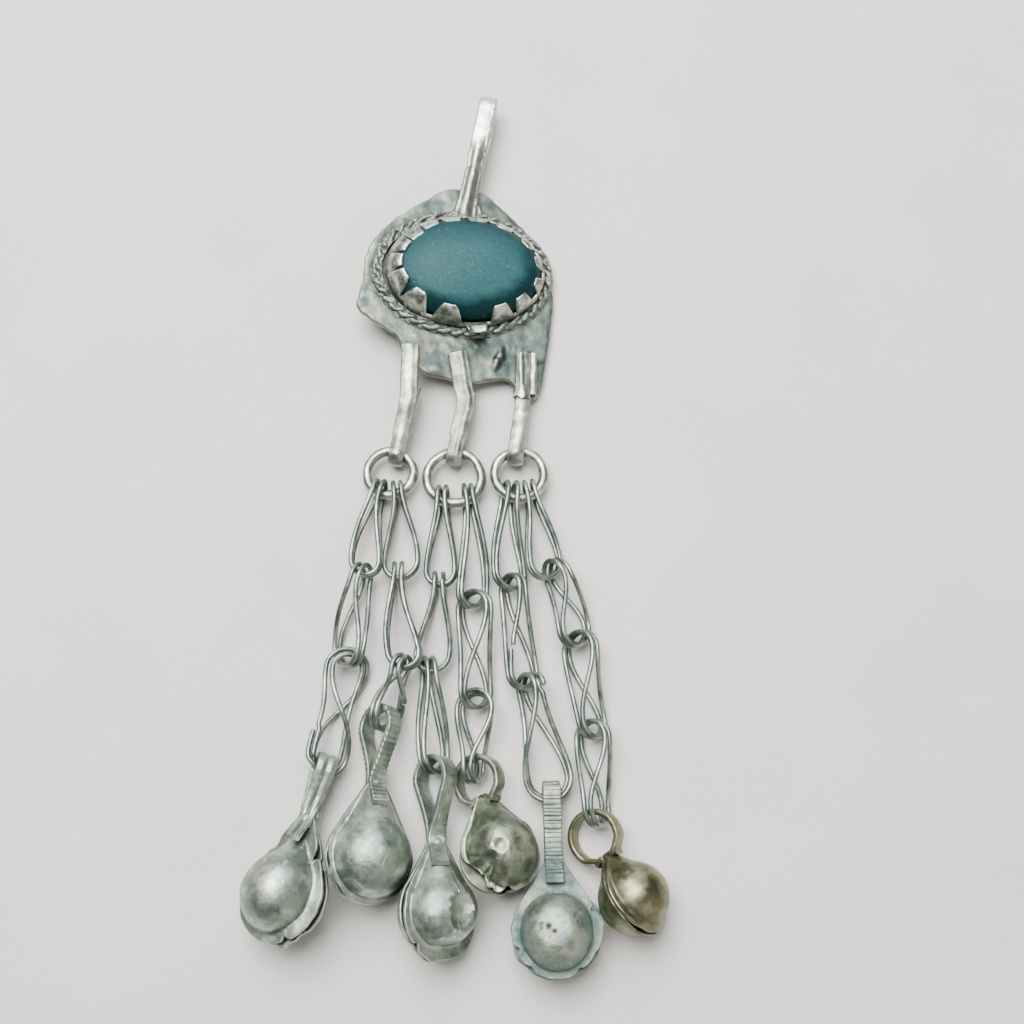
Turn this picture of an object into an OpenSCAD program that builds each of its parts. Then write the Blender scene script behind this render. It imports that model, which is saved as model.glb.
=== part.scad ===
// Tassel pendant of white metal, lying on a table with its bail at the far end.
// Lengths are in millimetres. X runs to the right, Y towards the bail and Z up.
// A stone setting carries three rings. Six strands of folded wire links hang from
// the rings, and each strand ends in a hollow bell made of two pressed halves.

/* [View] */
// Which piece to draw, or all of them

/* [Wire] */
// Radius of the wire the links are made of
wire_r = 0.31; // [0.2:0.01:0.4]
// Radius of the wire of the three rings
ring_wire_r = 0.62; // [0.5:0.01:0.7]
// Height of the rings' centre above the table
ring_z = 1.9; // [1.6:0.05:2.4]

/* [Sheet] */
// Thickness of the back plate
plate_t = 0.8; // [0.5:0.05:1.2]
// How far the plate leans, its left side up, in degrees
plate_lean = 8; // [0:0.5:12]
// Height of the plate's underside below the middle of the stone
plate_z = 2.1; // [1.5:0.05:3]
// Thickness of the bells' metal
bell_t = 0.5; // [0.35:0.05:0.7]
// Width of the gap between the lips of a bell
lip_gap = 0.36; // [0.2:0.02:0.6]
// Thickness of each lip
lip_t = 0.45; // [0.3:0.05:0.6]

/* [Setting] */
// Length of the bezel's inside, left to right
bezel_long = 19.3; // [18:0.1:20]
// Width of the bezel's inside, top to bottom
bezel_wide = 14.1; // [13:0.1:15]
// How far the bezel sits to the right of the border's middle
bezel_shift = 0.35; // [0:0.05:1]
// Height of the bezel's wall above the plate
bezel_h = 2.7; // [2:0.1:3.5]
// Thickness of the bezel's wall
bezel_t = 0.6; // [0.4:0.05:0.8]
// Radius of one strand of the twisted border
strand_r = 0.45; // [0.4:0.02:0.6]
// Number of half turns in the twisted border
half_turns = 38; // [30:2:60]
// Height of the stone above the plate
stone_h = 4.3; // [3:0.1:5]

/* [Hangers and bail] */
// Width of a hanger's strip
hanger_w = 2.0; // [1.8:0.05:2.4]
// Thickness of a hanger's strip
hanger_t = 0.6; // [0.5:0.05:0.7]
// Width of the bail's strip
bail_w = 2.2; // [1.8:0.05:2.6]
// Thickness of the bail's strip
bail_t = 0.7; // [0.5:0.05:0.9]
// How far the bail leans to the right, in degrees
bail_lean = 11; // [0:0.5:20]

/* [Hidden] */
// Where the middle of the whole pendant is, so that it can be set on the origin
mid = [-6.6, 0.5, 0];
// The middle of the stone
stone_at = [-6.5, 30.9];
// Flat sides of a link's wire
wire_sides = 5;

silver = "#a9b1ad";
brass = "#8f8d72";

// The rings: middle x, middle y, radius of the wire's centre line
rings = [
  ["left", -15.2, 4.5, 2.85],
  ["middle", -7.2, 3.9, 3.35],
  ["right", 0.9, 4.3, 3.05]
];

// The links. Each is a closed ring of wire folded in half. Its fold, with the two
// arches, is at the top, and its two open loops are at the end.
// name, top [x, y, z], end [x, y, z], turn of the arches and of the loops in degrees,
// half width of the arches and of the loops, half gap between the arches and between
// the loops, sideways bow, and how far one arch and one loop sits inside the other
links = [
  ["a1", [-16.2, 3.4, 1.9], [-17.8, -8.8, 3.2], 95, 102, 1.40, 1.80, 0.45, 0.38, -0.6, 0, 0],
  ["a2", [-18.0, -7.5, 3.2], [-19.8, -19.7, 2.2], 108, 135, 1.75, 2.20, 0.50, 0.42, -0.3, 0, 0],
  ["a3", [-19.4, -18.0, 2.05], [-22.1, -32.3, 2.45], 165, 60, 2.20, 1.95, 0.20, 0.42, 0, 0.16, 0.15],
  ["b1", [-14.35, 3.25, 1.9], [-13.7, -8.9, 1.8], 88, 92, 1.40, 2.05, 0.45, 0.38, 0.4, 0, 0],
  ["b2", [-13.95, -7.1, 1.9], [-12.4, -20.2, 4.1], 82, 102, 1.60, 1.90, 0.45, 0.42, -0.6, 0, 0],
  ["b3", [-12.8, -18.8, 4.1], [-15.5, -27.3, 2.5], 112, 36, 1.60, 1.85, 0.45, 0.42, 0, 0, 0],
  ["c1", [-8.6, 2.7, 1.9], [-8.75, -9.8, 1.9], 95, 95, 1.40, 1.75, 0.45, 0.42, 0, 0, 0],
  ["c2", [-8.9, -8.3, 1.9], [-9.9, -20.3, 1.8], 90, 85, 1.50, 2.00, 0.50, 0.42, 0.3, 0, 0],
  ["c3", [-10.1, -18.7, 1.9], [-9.1, -32.35, 2.6], 75, 42, 1.50, 1.90, 0.45, 0.42, 0, 0, 0],
  ["d1", [-5.6, 2.9, 1.9], [-4.9, -12.4, 1.9], 85, 60, 1.40, 1.75, 0.42, 0.42, 0.5, 0, 0],
  ["d2", [-4.6, -10.6, 2.15], [-4.3, -24.7, 2.0], 35, 55, 2.20, 1.90, 0.45, 0.42, 0, 0, 0],
  ["d3", [-4.3, -22.8, 2.05], [-4.55, -33.5, 2.4], 25, 25, 2.10, 1.75, 0.35, 0.45, 0, 0.10, 0],
  ["e1", [-0.1, 3.3, 1.9], [-0.1, -10.2, 1.9], 75, 65, 1.50, 1.85, 0.60, 0.42, -0.5, 0, 0],
  ["e2", [0.0, -8.5, 2.0], [1.5, -22.4, 2.0], 50, 60, 1.80, 1.80, 0.45, 0.42, -0.1, 0, 0],
  ["e3", [1.8, -20.7, 2.15], [4.75, -35.4, 1.9], 55, 90, 1.80, 2.50, 0.45, 0.42, 0, 0, 0.08],
  ["f1", [2.0, 3.35, 1.9], [4.3, -8.9, 2.1], 90, 70, 1.40, 1.95, 0.50, 0.42, 0.15, 0, 0],
  ["f2", [4.8, -6.8, 2.33], [7.8, -17.2, 2.1], 60, 55, 2.00, 2.00, 0.50, 0.42, 0.5, 0, 0],
  ["f3", [8.1, -15.6, 2.15], [9.9, -28.2, 2.0], 40, 50, 2.20, 1.80, 0.45, 0.42, -0.3, 0, 0],
  ["f4", [9.5, -26.3, 2.25], [9.95, -38.5, 2.5], 40, 32, 2.10, 2.10, 0.45, 0.42, 0, 0, 0]
];

// The bells: middle x and y, lean to the right, droop towards the loop, turn of the
// lips (right side up), dome radius, lip radius, length from the middle to the top of
// the neck, turn of the loop (right side up), loop radius, strip width, distance from
// the middle to the loop's middle, length of the teardrop's point, and how far from the
// middle the front strip ends
bells = [
  [-25.9, -46.3, 14.5, 9.5, 27, 4.95, 5.5, 9.2, 60, 2.0, 2.2, 14.8, 6.0, 6.0],
  [-16.3, -42.1, 2.5, 8.5, -30, 4.9, 5.3, 9.6, 42, 2.7, 2.0, 15.2, 8.0, 6.6],
  [-8.4, -48.3, -2.5, 7.0, -42, 4.6, 5.2, 8.8, 42, 2.7, 2.1, 15.4, 8.5, 5.6],
  [-1.4, -41.65, -17, 10.5, -20, 4.4, 4.75, 6.6, 28, 3.1, 1.9, 8.8, 5.0, 6.0],
  [5.05, -50.25, -1.6, 9.0, 0, 4.2, 5.2, 7.9, 88, 1.7, 2.1, 15.4, 8.0, 5.2],
  [13.9, -46.6, -31.5, 12, -57, 4.15, 4.6, 5.5, 25, 3.2, 1.9, 8.2, 5.0, 5.2]
];

// The plate's ragged outline, measured from the middle of the stone
plate_edge = [
  [-1.7, 12.2], [-4.6, 10.6], [-7.7, 8.4], [-9.9, 6.4], [-11.8, 4.0], [-12.6, 2.0],
  [-12.8, -0.9], [-13.5, -4.4], [-13.2, -5.7], [-11.4, -7.1], [-9.5, -8.1], [-8.3, -9.2],
  [-7.5, -11.3], [-4.8, -13.8], [-2.8, -14.3], [-1.1, -14.6], [1.9, -14.8], [3.3, -14.5],
  [4.6, -14.2], [5.9, -14.3], [6.5, -14.9], [6.9, -16.7], [9.4, -16.7], [9.8, -16.0],
  [10.5, -14.3], [11.2, -10.1], [11.7, -6.3], [12.0, -3.4], [11.8, -0.5], [11.5, 1.5],
  [10.6, 4.0], [9.3, 5.6], [7.1, 8.2], [4.7, 10.2], [2.5, 12.0]
];

// The bezel's teeth: place round the oval in degrees, width, length, fold inwards in
// degrees. A fold below zero is a tooth bent outwards.
teeth = [
  [16, 2.3, 1.4, 56], [38, 2.2, 1.4, 56], [61, 2.4, 1.4, 54], [83, 2.5, 1.4, 54],
  [102, 2.3, 1.4, 52], [121, 2.4, 1.4, 54], [138, 2.4, 1.6, 56], [154, 2.2, 1.8, 58],
  [172, 2.5, 1.9, 57], [191, 2.4, 1.8, 57], [217, 2.6, 1.6, 30], [245, 2.6, 1.5, 22],
  [273, 2.7, 1.3, -60], [297, 1.8, 1.2, 20], [319, 2.0, 1.5, 40], [341, 1.9, 1.6, 52],
  [359, 2.1, 1.5, 56]
];

// The hangers: x at the top, x of the kink, x where it holds its ring, y at the top, y of
// the kink, y of the back strip's end, and which ring each one holds
hangers = [
  [-12.8, -12.9, -14.3, 20.6, 13.4, 15.8, 0],
  [-6.9, -5.8, -7.1, 20.0, 13.4, 15.2, 1],
  [1.5, 1.3, 0.5, 20.2, 13.4, 14.2, 2]
];

// Small helpers

function smooth(s) = s * s * (3 - 2 * s);
function unit(v) = v / norm(v);
function oval(rx, ry, a) = [rx * cos(a), ry * sin(a)];

// A flat strip's outline: a line of points given a thickness t
function side_of(p, i) =
  let (
    a = p[max(i - 1, 0)],
    b = p[min(i + 1, len(p) - 1)],
    d = unit([b[0] - a[0], b[1] - a[1]])
  ) [-d[1], d[0]];
function strip(p, t) = concat(
  [for (i = [0:len(p) - 1]) p[i] + side_of(p, i) * t / 2],
  [for (i = [len(p) - 1:-1:0]) p[i] - side_of(p, i) * t / 2]
);
function arc(cx, cy, r, from, to, n) =
  [for (i = [0:n]) let (a = from + (to - from) * i / n) [cx + r * cos(a), cy + r * sin(a)]];

// A closed tube with flat sides along a ring of points. A cross direction is carried
// from point to point, and what it has turned by at the close is shared out.
function carry(v, t) = unit(v - t * (v * t));
function tangent(p, i) = let (n = len(p)) unit(p[(i + 1) % n] - p[(i + n - 1) % n]);
module tube(p, radius, sides) {
  n = len(p);
  t = [for (i = [0:n - 1]) tangent(p, i)];
  start = carry(abs(t[0][2]) < 0.9 ? [0, 0, 1] : [1, 0, 0], t[0]);
  across = [for (i = 0, v = start; i < n; i = i + 1, v = i < n ? carry(v, t[i]) : v) v];
  back = carry(across[n - 1], t[0]);
  slip = atan2(cross(start, back) * t[0], start * back);
  ring = [for (i = [0:n - 1]) for (k = [0:sides - 1])
    let (a = 360 * k / sides - slip * i / n, w = cross(t[i], across[i]))
    p[i] + radius * (cos(a) * across[i] + sin(a) * w)];
  faces = [for (i = [0:n - 1]) for (k = [0:sides - 1])
    let (j = (i + 1) % n, m = (k + 1) % sides)
    each [[i * sides + k, j * sides + m, i * sides + m],
          [i * sides + k, j * sides + k, j * sides + m]]];
  polyhedron(points = ring, faces = faces);
}

// The wire of one link, as points of its centre line in the link's own directions:
// a is across the arches, e across the loops and h down the link
function arch(w, da, wa, se, from, to) = [for (i = [0:6])
  let (t = from + (to - from) * i / 6) [w * cos(t), se * da, wa - w * sin(t)]];
function end_loop(w, db, wb, sa, h, from, to) = [for (i = [0:6])
  let (t = from + (to - from) * i / 6) [sa * db, w * cos(t), h - wb + w * sin(t)]];
function run(sa, se, up, wa, wb, da, db, nt, ne, h) = [for (i = [1:3])
  let (
    s = up ? 1 - i / 4 : i / 4,
    a0 = wa * (1 + se * nt),
    e1 = wb * (1 + sa * ne)
  ) [
    sa * (a0 + (db - a0) * smooth(s)),
    se * (da + (e1 - da) * smooth(s)),
    a0 - se * nt * wa + (h - a0 - e1 + se * nt * wa + sa * ne * wb) * s
  ]];
function link_curve(wa, wb, da, db, nt, ne, h) = concat(
  arch(wa * (1 + nt), da, wa, 1, 180, 0), run(1, 1, false, wa, wb, da, db, nt, ne, h),
  end_loop(wb * (1 + ne), db, wb, 1, h, 0, 180), run(1, -1, true, wa, wb, da, db, nt, ne, h),
  arch(wa * (1 - nt), da, wa, -1, 0, 180), run(-1, -1, false, wa, wb, da, db, nt, ne, h),
  end_loop(wb * (1 - ne), db, wb, -1, h, 180, 0), run(-1, 1, true, wa, wb, da, db, nt, ne, h)
);

module link(name) {
  row = [for (r = links) if (r[0] == name) r][0];
  top = row[1];
  end = row[2];
  h = norm(end - top);
  down = (end - top) / h;
  side = unit(cross([0, 0, 1], down)) * (down[1] < 0 ? 1 : -1);
  lift = unit(cross(side, down)) * (cross(side, down)[2] > 0 ? 1 : -1);
  local = link_curve(row[5], row[6], row[7], row[8], row[10], row[11], h);
  tube([for (c = local)
    let (
      u = c[2] / h,
      roll = row[3] + (row[4] - row[3]) * smooth(u),
      over = cos(roll) * side + sin(roll) * lift,
      along = -sin(roll) * side + cos(roll) * lift
    ) top + down * c[2] + over * c[0] + along * c[1] + side * row[9] * sin(180 * u)],
    wire_r, wire_sides);
}

// One of the three rings, a plain round wire lying flat
module ring(i) {
  translate([rings[i][1], rings[i][2], ring_z])
    rotate_extrude($fn = 64) translate([rings[i][3], 0]) circle(r = ring_wire_r, $fn = 32);
}

// The setting. Everything on the plate leans with it.
module on_plate() {
  translate([stone_at[0], stone_at[1], plate_z]) rotate([0, plate_lean, 0]) children();
}

module plate() {
  linear_extrude(plate_t) polygon(plate_edge);
}

module bezel_wall() {
  n = 48;
  out = [for (i = [0:n - 1]) oval(bezel_long / 2 + bezel_t, bezel_wide / 2 + bezel_t, 360 * i / n)];
  in = [for (i = [0:n - 1]) oval(bezel_long / 2, bezel_wide / 2, 360 * i / n)];
  translate([0, 0, plate_t - 0.2]) linear_extrude(bezel_h + 0.2)
    difference() { polygon(out); polygon(in); }
}

// A tooth is cut from the wall's rim and folded over the stone
module tooth(row) {
  at = oval(bezel_long / 2 + bezel_t / 2, bezel_wide / 2 + bezel_t / 2, row[0]);
  out = atan2(sin(row[0]) / bezel_wide, cos(row[0]) / bezel_long);
  translate([at[0], at[1], plate_t + bezel_h - 0.15]) rotate([0, 0, out]) rotate([0, -row[3], 0])
    translate([-bezel_t / 2 + 0.04, 0, 0]) rotate([90, 0, 90]) linear_extrude(bezel_t - 0.12)
      polygon([[-row[1] / 2, -0.1], [row[1] / 2, -0.1], [row[1] * 0.38, row[2]], [-row[1] * 0.34, row[2]]]);
}

// The border is two strands twisted together and laid round the wall. Its section is
// two lobes, and it turns half_turns times half a turn on its way round.
module border() {
  rings_n = half_turns * 4;
  lobe = [2 * strand_r, 1.3 * strand_r, 1.3 * strand_r];
  rx = bezel_long / 2 + bezel_t + bezel_shift + strand_r * 1.1;
  ry = bezel_wide / 2 + bezel_t + strand_r * 1.2;
  pts = [for (i = [0:rings_n - 1])
    let (
      a = 360 * i / rings_n,
      c = oval(rx, ry, a),
      out = unit([cos(a) / rx, sin(a) / ry]),
      turn = 180 * half_turns * i / rings_n
    ) for (k = [0:5])
      let (r = lobe[k % 3], b = 60 * k + turn)
      [c[0] + out[0] * r * cos(b), c[1] + out[1] * r * cos(b), plate_t + strand_r * 1.3 + r * sin(b)]];
  faces = [for (i = [0:rings_n - 1]) for (k = [0:5])
    let (j = (i + 1) % rings_n, m = (k + 1) % 6)
    each [[i * 6 + k, i * 6 + m, j * 6 + k], [i * 6 + m, j * 6 + m, j * 6 + k]]];
  polyhedron(points = pts, faces = faces);
}

// A hanger is a strip soldered on the plate's front. It comes down over the ring's
// wire, folds under it and goes back up behind the plate.
module hanger(row) {
  r = rings[row[6]];
  off = row[2] - r[1];
  hold_y = r[2] + sqrt(r[3] * r[3] - off * off) - 0.5;
  fold = ring_wire_r + 0.3 + hanger_t / 2;
  front = plate_z + plate_t + (stone_at[0] - row[1]) * tan(plate_lean);
  back = front - plate_t;
  drop = row[4] - hold_y;
  swing = atan2(row[1] - row[2], drop);
  reach = drop / cos(swing);
  lower = concat(
    [[1.2, front + hanger_t / 2 - 0.05], [0, front + hanger_t / 2 - 0.02]],
    arc(-reach, ring_z, fold, 90, 270, 10),
    [[-0.6, max(back - hanger_t * 0.8, hanger_t / 2 + 0.1)],
     [row[5] - row[4], max(back - hanger_t / 2 + 0.05, hanger_t / 2 + 0.1)]]
  );
  length = row[3] - row[4];
  translate([row[1], row[4], 0]) {
    rotate([0, 0, -swing]) translate([-hanger_w / 2, 0, 0])
      rotate([90, 0, 90]) linear_extrude(hanger_w) polygon(strip(lower, hanger_t));
    rotate([0, 0, -atan2(row[0] - row[1], length)])
      translate([-hanger_w / 2 + 0.05, -0.5, front - 0.3])
      cube([hanger_w - 0.1, length + 0.5, hanger_t + 0.25]);
  }
}

// The bail is a strip on the plate's front that ends in a teardrop eye. A collar binds
// the returning end to the strip, and a rib runs up the middle.
bail_root = [-6.2, 38.9];
bail_eye = [15.5, 2.75];
bail_eye_r = 1.75;
module bail() {
  eye = concat(
    [[5.0, 3.55], [8.2, 3.75], [11.4, 4.3]],
    arc(bail_eye[0], bail_eye[1], bail_eye_r, 112, -112, 12)
  );
  back = [[15.0, 1.15], [13.4, 1.25], [11.2, 1.8], [7.8, 2.8], [5.0, 3.05]];
  stem = [[-0.6, 3.1], [2.5, 3.4], [5.6, 3.6]];
  translate([bail_root[0], bail_root[1], 0]) rotate([0, 0, -bail_lean]) {
    translate([-bail_w / 2, 0, 0]) rotate([90, 0, 90]) linear_extrude(bail_w) {
      polygon(strip(eye, bail_t));
      polygon(strip(back, bail_t));
      polygon(strip(stem, bail_t));
    }
    // the collar
    translate([-bail_w / 2 - 0.25, 4.7, 2.55]) cube([bail_w + 0.5, 0.9, 1.75]);
    // the rib up the stem's middle
    translate([-0.35, -0.4, 3.15]) rotate([atan2(0.45, 5.6), 0, 0]) cube([0.7, 5.6, 0.65]);
  }
}

module setting() {
  on_plate() {
    plate();
    border();
    translate([bezel_shift, 0, 0]) {
      bezel_wall();
      for (row = teeth) tooth(row);
    }
  }
  for (row = hangers) hanger(row);
  bail();
}

// The stone is a low dome on a straight girdle, set a little clear of the metal
module stone() {
  n = 36;
  rx = bezel_long / 2 - 0.15;
  ry = bezel_wide / 2 - 0.15;
  base = plate_t + 0.12;
  rows = [[0, 1.0], [bezel_h - 1.0, 1.0], [bezel_h - 0.2, 0.925], [bezel_h + 0.45, 0.80],
          [stone_h - 0.65, 0.62], [stone_h - 0.24, 0.38], [stone_h - 0.04, 0.15]];
  m = len(rows);
  pts = concat(
    [for (r = rows) for (i = [0:n - 1])
      let (c = oval(rx * r[1], ry * r[1], 360 * i / n)) [c[0], c[1], base + r[0]]],
    [[0, 0, base + stone_h], [0, 0, base]]);
  faces = concat(
    [for (j = [0:m - 2]) for (i = [0:n - 1]) let (k = (i + 1) % n)
      each [[j * n + i, (j + 1) * n + k, j * n + k], [j * n + i, (j + 1) * n + i, (j + 1) * n + k]]],
    [for (i = [0:n - 1]) [(m - 1) * n + i, m * n, (m - 1) * n + (i + 1) % n]],
    [for (i = [0:n - 1]) [i, (i + 1) % n, m * n + 1]]);
  on_plate() translate([bezel_shift, 0, 0]) polyhedron(points = pts, faces = faces);
}

// One bell's body, filled: a ball with a short cone up to the neck
module bell_form(r, top, thick) {
  sphere(r = r - thick, $fn = 48);
  rotate([-90, 0, 0]) translate([0, 0, r * 0.4])
    cylinder(h = top - r * 0.4 - thick, r1 = r * 0.86 - thick, r2 = max(1.0 - thick, 0.35), $fn = 48);
}

// The lips: two flat sheets as one leaf, round below and narrowing to the neck
module bell_lips(rf, top) {
  linear_extrude(2 * lip_t + lip_gap, center = true) {
    circle(r = rf, $fn = 64);
    polygon([[-rf * 0.83, rf * 0.55], [-0.95, top], [0.95, top], [rf * 0.83, rf * 0.55]]);
  }
}

// A bell rests on its dome or, if it is turned far, on the edge of its lips
function rest_z(row) =
  max(row[5], row[6] * abs(sin(row[4])) + (lip_t + lip_gap / 2) * cos(row[4]));

// Turns children into a bell's own directions: Y is towards its loop
module bell_place(row) {
  translate([row[0], row[1], rest_z(row)]) rotate([0, 0, -row[2]]) rotate([-row[3], 0, 0]) children();
}

// A hollow pressed bell. Dents are balls [x, y, z, radius] in the bell's own directions
// before its lips are turned: the metal follows each of them on both sides.
module bell_body(row, dents) {
  r = row[5];
  difference() {
    union() {
      difference() {
        bell_form(r, row[7], 0);
        for (d = dents) translate([d[0], d[1], d[2]]) sphere(r = d[3], $fn = 40);
      }
      rotate([0, -row[4], 0]) difference() {
        bell_lips(row[6], row[7]);
        bell_form(r, row[7], bell_t * 0.5);
      }
    }
    difference() {
      bell_form(r, row[7] - 1.6, bell_t);
      for (d = dents) translate([d[0], d[1], d[2]]) sphere(r = d[3] + bell_t, $fn = 40);
    }
    rotate([0, -row[4], 0]) translate([-10, -20, -lip_gap / 2]) cube([20, 20 + r * 0.3, lip_gap]);
  }
}

// The strip loop: a teardrop band whose two ends run down over the neck
function teardrop(r, point, n) = concat(
  arc(0, 0, r, -asin(r / point), 180 + asin(r / point), n), [[0, -point]]);
module bell_loop(row, t) {
  q = row[9];
  far = row[11];
  point = row[12];
  join = far - point * 0.78;
  step = (row[5] * 0.86 - 1.0) / (row[7] - row[5] * 0.4);
  edge = 0.85 + (row[7] - row[13]) * step * 0.9;
  rotate([0, -row[8], 0]) translate([0, 0, -row[10] / 2]) linear_extrude(row[10]) {
    translate([0, far]) difference() {
      polygon(teardrop(q, point, 20));
      polygon(teardrop(q - t, point * (q - t) / q, 20));
    }
    polygon([[-t, join + 0.8], [-t, row[7] - 1.2], [t, row[7] - 1.2], [t, join + 0.8]]);
    polygon([[0, row[7]], [t, row[7]], [edge + t, row[13]], [edge, row[13]], [0.1, row[7] - 1.4]]);
  }
}

// Small ridges across a strip, from y0 to y1 in the loop's directions
module ribs(row, x0, y0, x1, y1, n) {
  rotate([0, -row[8], 0]) for (i = [0:n - 1]) let (s = (i + 0.5) / n)
    translate([x0 + (x1 - x0) * s, y0 + (y1 - y0) * s, -row[10] / 2])
      rotate([0, 0, atan2(x0 - x1, y1 - y0)]) cube([0.22, (norm([x1 - x0, y1 - y0]) / n) * 0.55, row[10]]);
}

module bell_1() {
  row = bells[0];
  bell_place(row) { bell_body(row, []); bell_loop(row, 0.55); }
}
module bell_2() {
  row = bells[1];
  bell_place(row) {
    bell_body(row, [[-5.5, -7.6, 6.6, 7]]);
    bell_loop(row, 0.6);
    ribs(row, 0.5, 7.6, 0.5, 10.0, 6);
  }
}
module bell_3() {
  row = bells[2];
  bell_place(row) {
    bell_body(row, [[4.8, -4.4, 6.1, 5], [-1.6, -6.6, 4.3, 4]]);
    bell_loop(row, 0.6);
  }
}
// The fourth bell is crushed and torn open at the front
module bell_4() {
  row = bells[3];
  difference() {
    bell_place(row) {
      bell_body(row, [[-4.4, -3.4, 7.2, 5.6]]);
      bell_loop(row, 0.6);
    }
    translate([row[0], row[1], row[5] + 1.2]) linear_extrude(6)
      polygon([[-1.5, -1.9], [-1.1, -3.0], [2.2, -2.8], [1.9, -4.1], [-1.0, -4.3], [-2.5, -2.6]]);
  }
}
module bell_5() {
  row = bells[4];
  bell_place(row) {
    bell_body(row, []);
    bell_loop(row, 0.6);
    ribs(row, 0.5, 7.9, 0.55, 9.6, 5);
  }
}
module bell_6() {
  row = bells[5];
  bell_place(row) { bell_body(row, []); bell_loop(row, 0.5); }
}

// The pieces, each drawn by its own name
translate(-mid) {
  color(silver) setting();
  color("#2b5557") stone();
  color(silver) ring(0);  // ring_left
  color(silver) ring(1);  // ring_middle
  color(silver) ring(2);  // ring_right
  color(silver) link("a1");  // link_a1
  color(silver) link("a2");  // link_a2
  color(silver) link("a3");  // link_a3
  color(silver) link("b1");  // link_b1
  color(silver) link("b2");  // link_b2
  color(silver) link("b3");  // link_b3
  color(silver) link("c1");  // link_c1
  color(silver) link("c2");  // link_c2
  color(silver) link("c3");  // link_c3
  color(silver) link("d1");  // link_d1
  color(silver) link("d2");  // link_d2
  color(silver) link("d3");  // link_d3
  color(silver) link("e1");  // link_e1
  color(silver) link("e2");  // link_e2
  color(silver) link("e3");  // link_e3
  color(silver) link("f1");  // link_f1
  color(silver) link("f2");  // link_f2
  color(silver) link("f3");  // link_f3
  color(silver) link("f4");  // link_f4
  color(silver) bell_1();
  color(silver) bell_2();
  color(silver) bell_3();
  color(brass) bell_4();
  color(silver) bell_5();
  color(brass) bell_6();
}
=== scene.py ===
"""A white-metal tassel pendant: a stone setting, three rings, wire links and six pressed bells."""
import math
from collections import namedtuple

import bmesh
import bpy
import numpy as np
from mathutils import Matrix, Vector
from mathutils.geometry import delaunay_2d_cdt


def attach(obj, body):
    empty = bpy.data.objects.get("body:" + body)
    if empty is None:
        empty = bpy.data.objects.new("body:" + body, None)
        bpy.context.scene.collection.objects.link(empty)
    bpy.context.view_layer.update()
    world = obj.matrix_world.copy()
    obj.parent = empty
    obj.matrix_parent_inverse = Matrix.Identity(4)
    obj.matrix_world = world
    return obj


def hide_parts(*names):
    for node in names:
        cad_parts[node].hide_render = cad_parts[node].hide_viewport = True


bl_info = {
    "name": "Tassel pendant",
    "version": (1, 0, 0),
    "blender": (4, 5, 0),
    "location": "3D View > Sidebar > Pendant",
    "description": "Builds a tassel pendant with its setting, chains and bells",
    "category": "Add Mesh",
}

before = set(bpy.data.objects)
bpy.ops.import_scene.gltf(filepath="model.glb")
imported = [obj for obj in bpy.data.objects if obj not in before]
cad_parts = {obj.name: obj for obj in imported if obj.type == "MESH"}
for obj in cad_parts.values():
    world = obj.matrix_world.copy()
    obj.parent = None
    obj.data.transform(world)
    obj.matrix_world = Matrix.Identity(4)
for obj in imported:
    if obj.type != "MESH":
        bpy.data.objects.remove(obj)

# The pendant is drawn in millimetres on the table, X to the right, Y towards the bail and
# Z up. MID is the table point that the frame has at its origin.
MID = np.array([-6.6, 0.5, 0.0])
# The camera looks at AIM, tilted down in degrees, from so many millimetres away.
AIM = np.array([0.0, 0.0, 0.0])
CAMERA_TILT = 75.0
CAMERA_FAR = 178.0

# Rings: middle x, middle y, radius of the wire's centre line
Ring = namedtuple("Ring", "x y r")
RINGS = {"ring_left": Ring(-15.2, 4.5, 2.85), "ring_middle": Ring(-7.2, 3.9, 3.35),
         "ring_right": Ring(0.9, 4.3, 3.05)}

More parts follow.
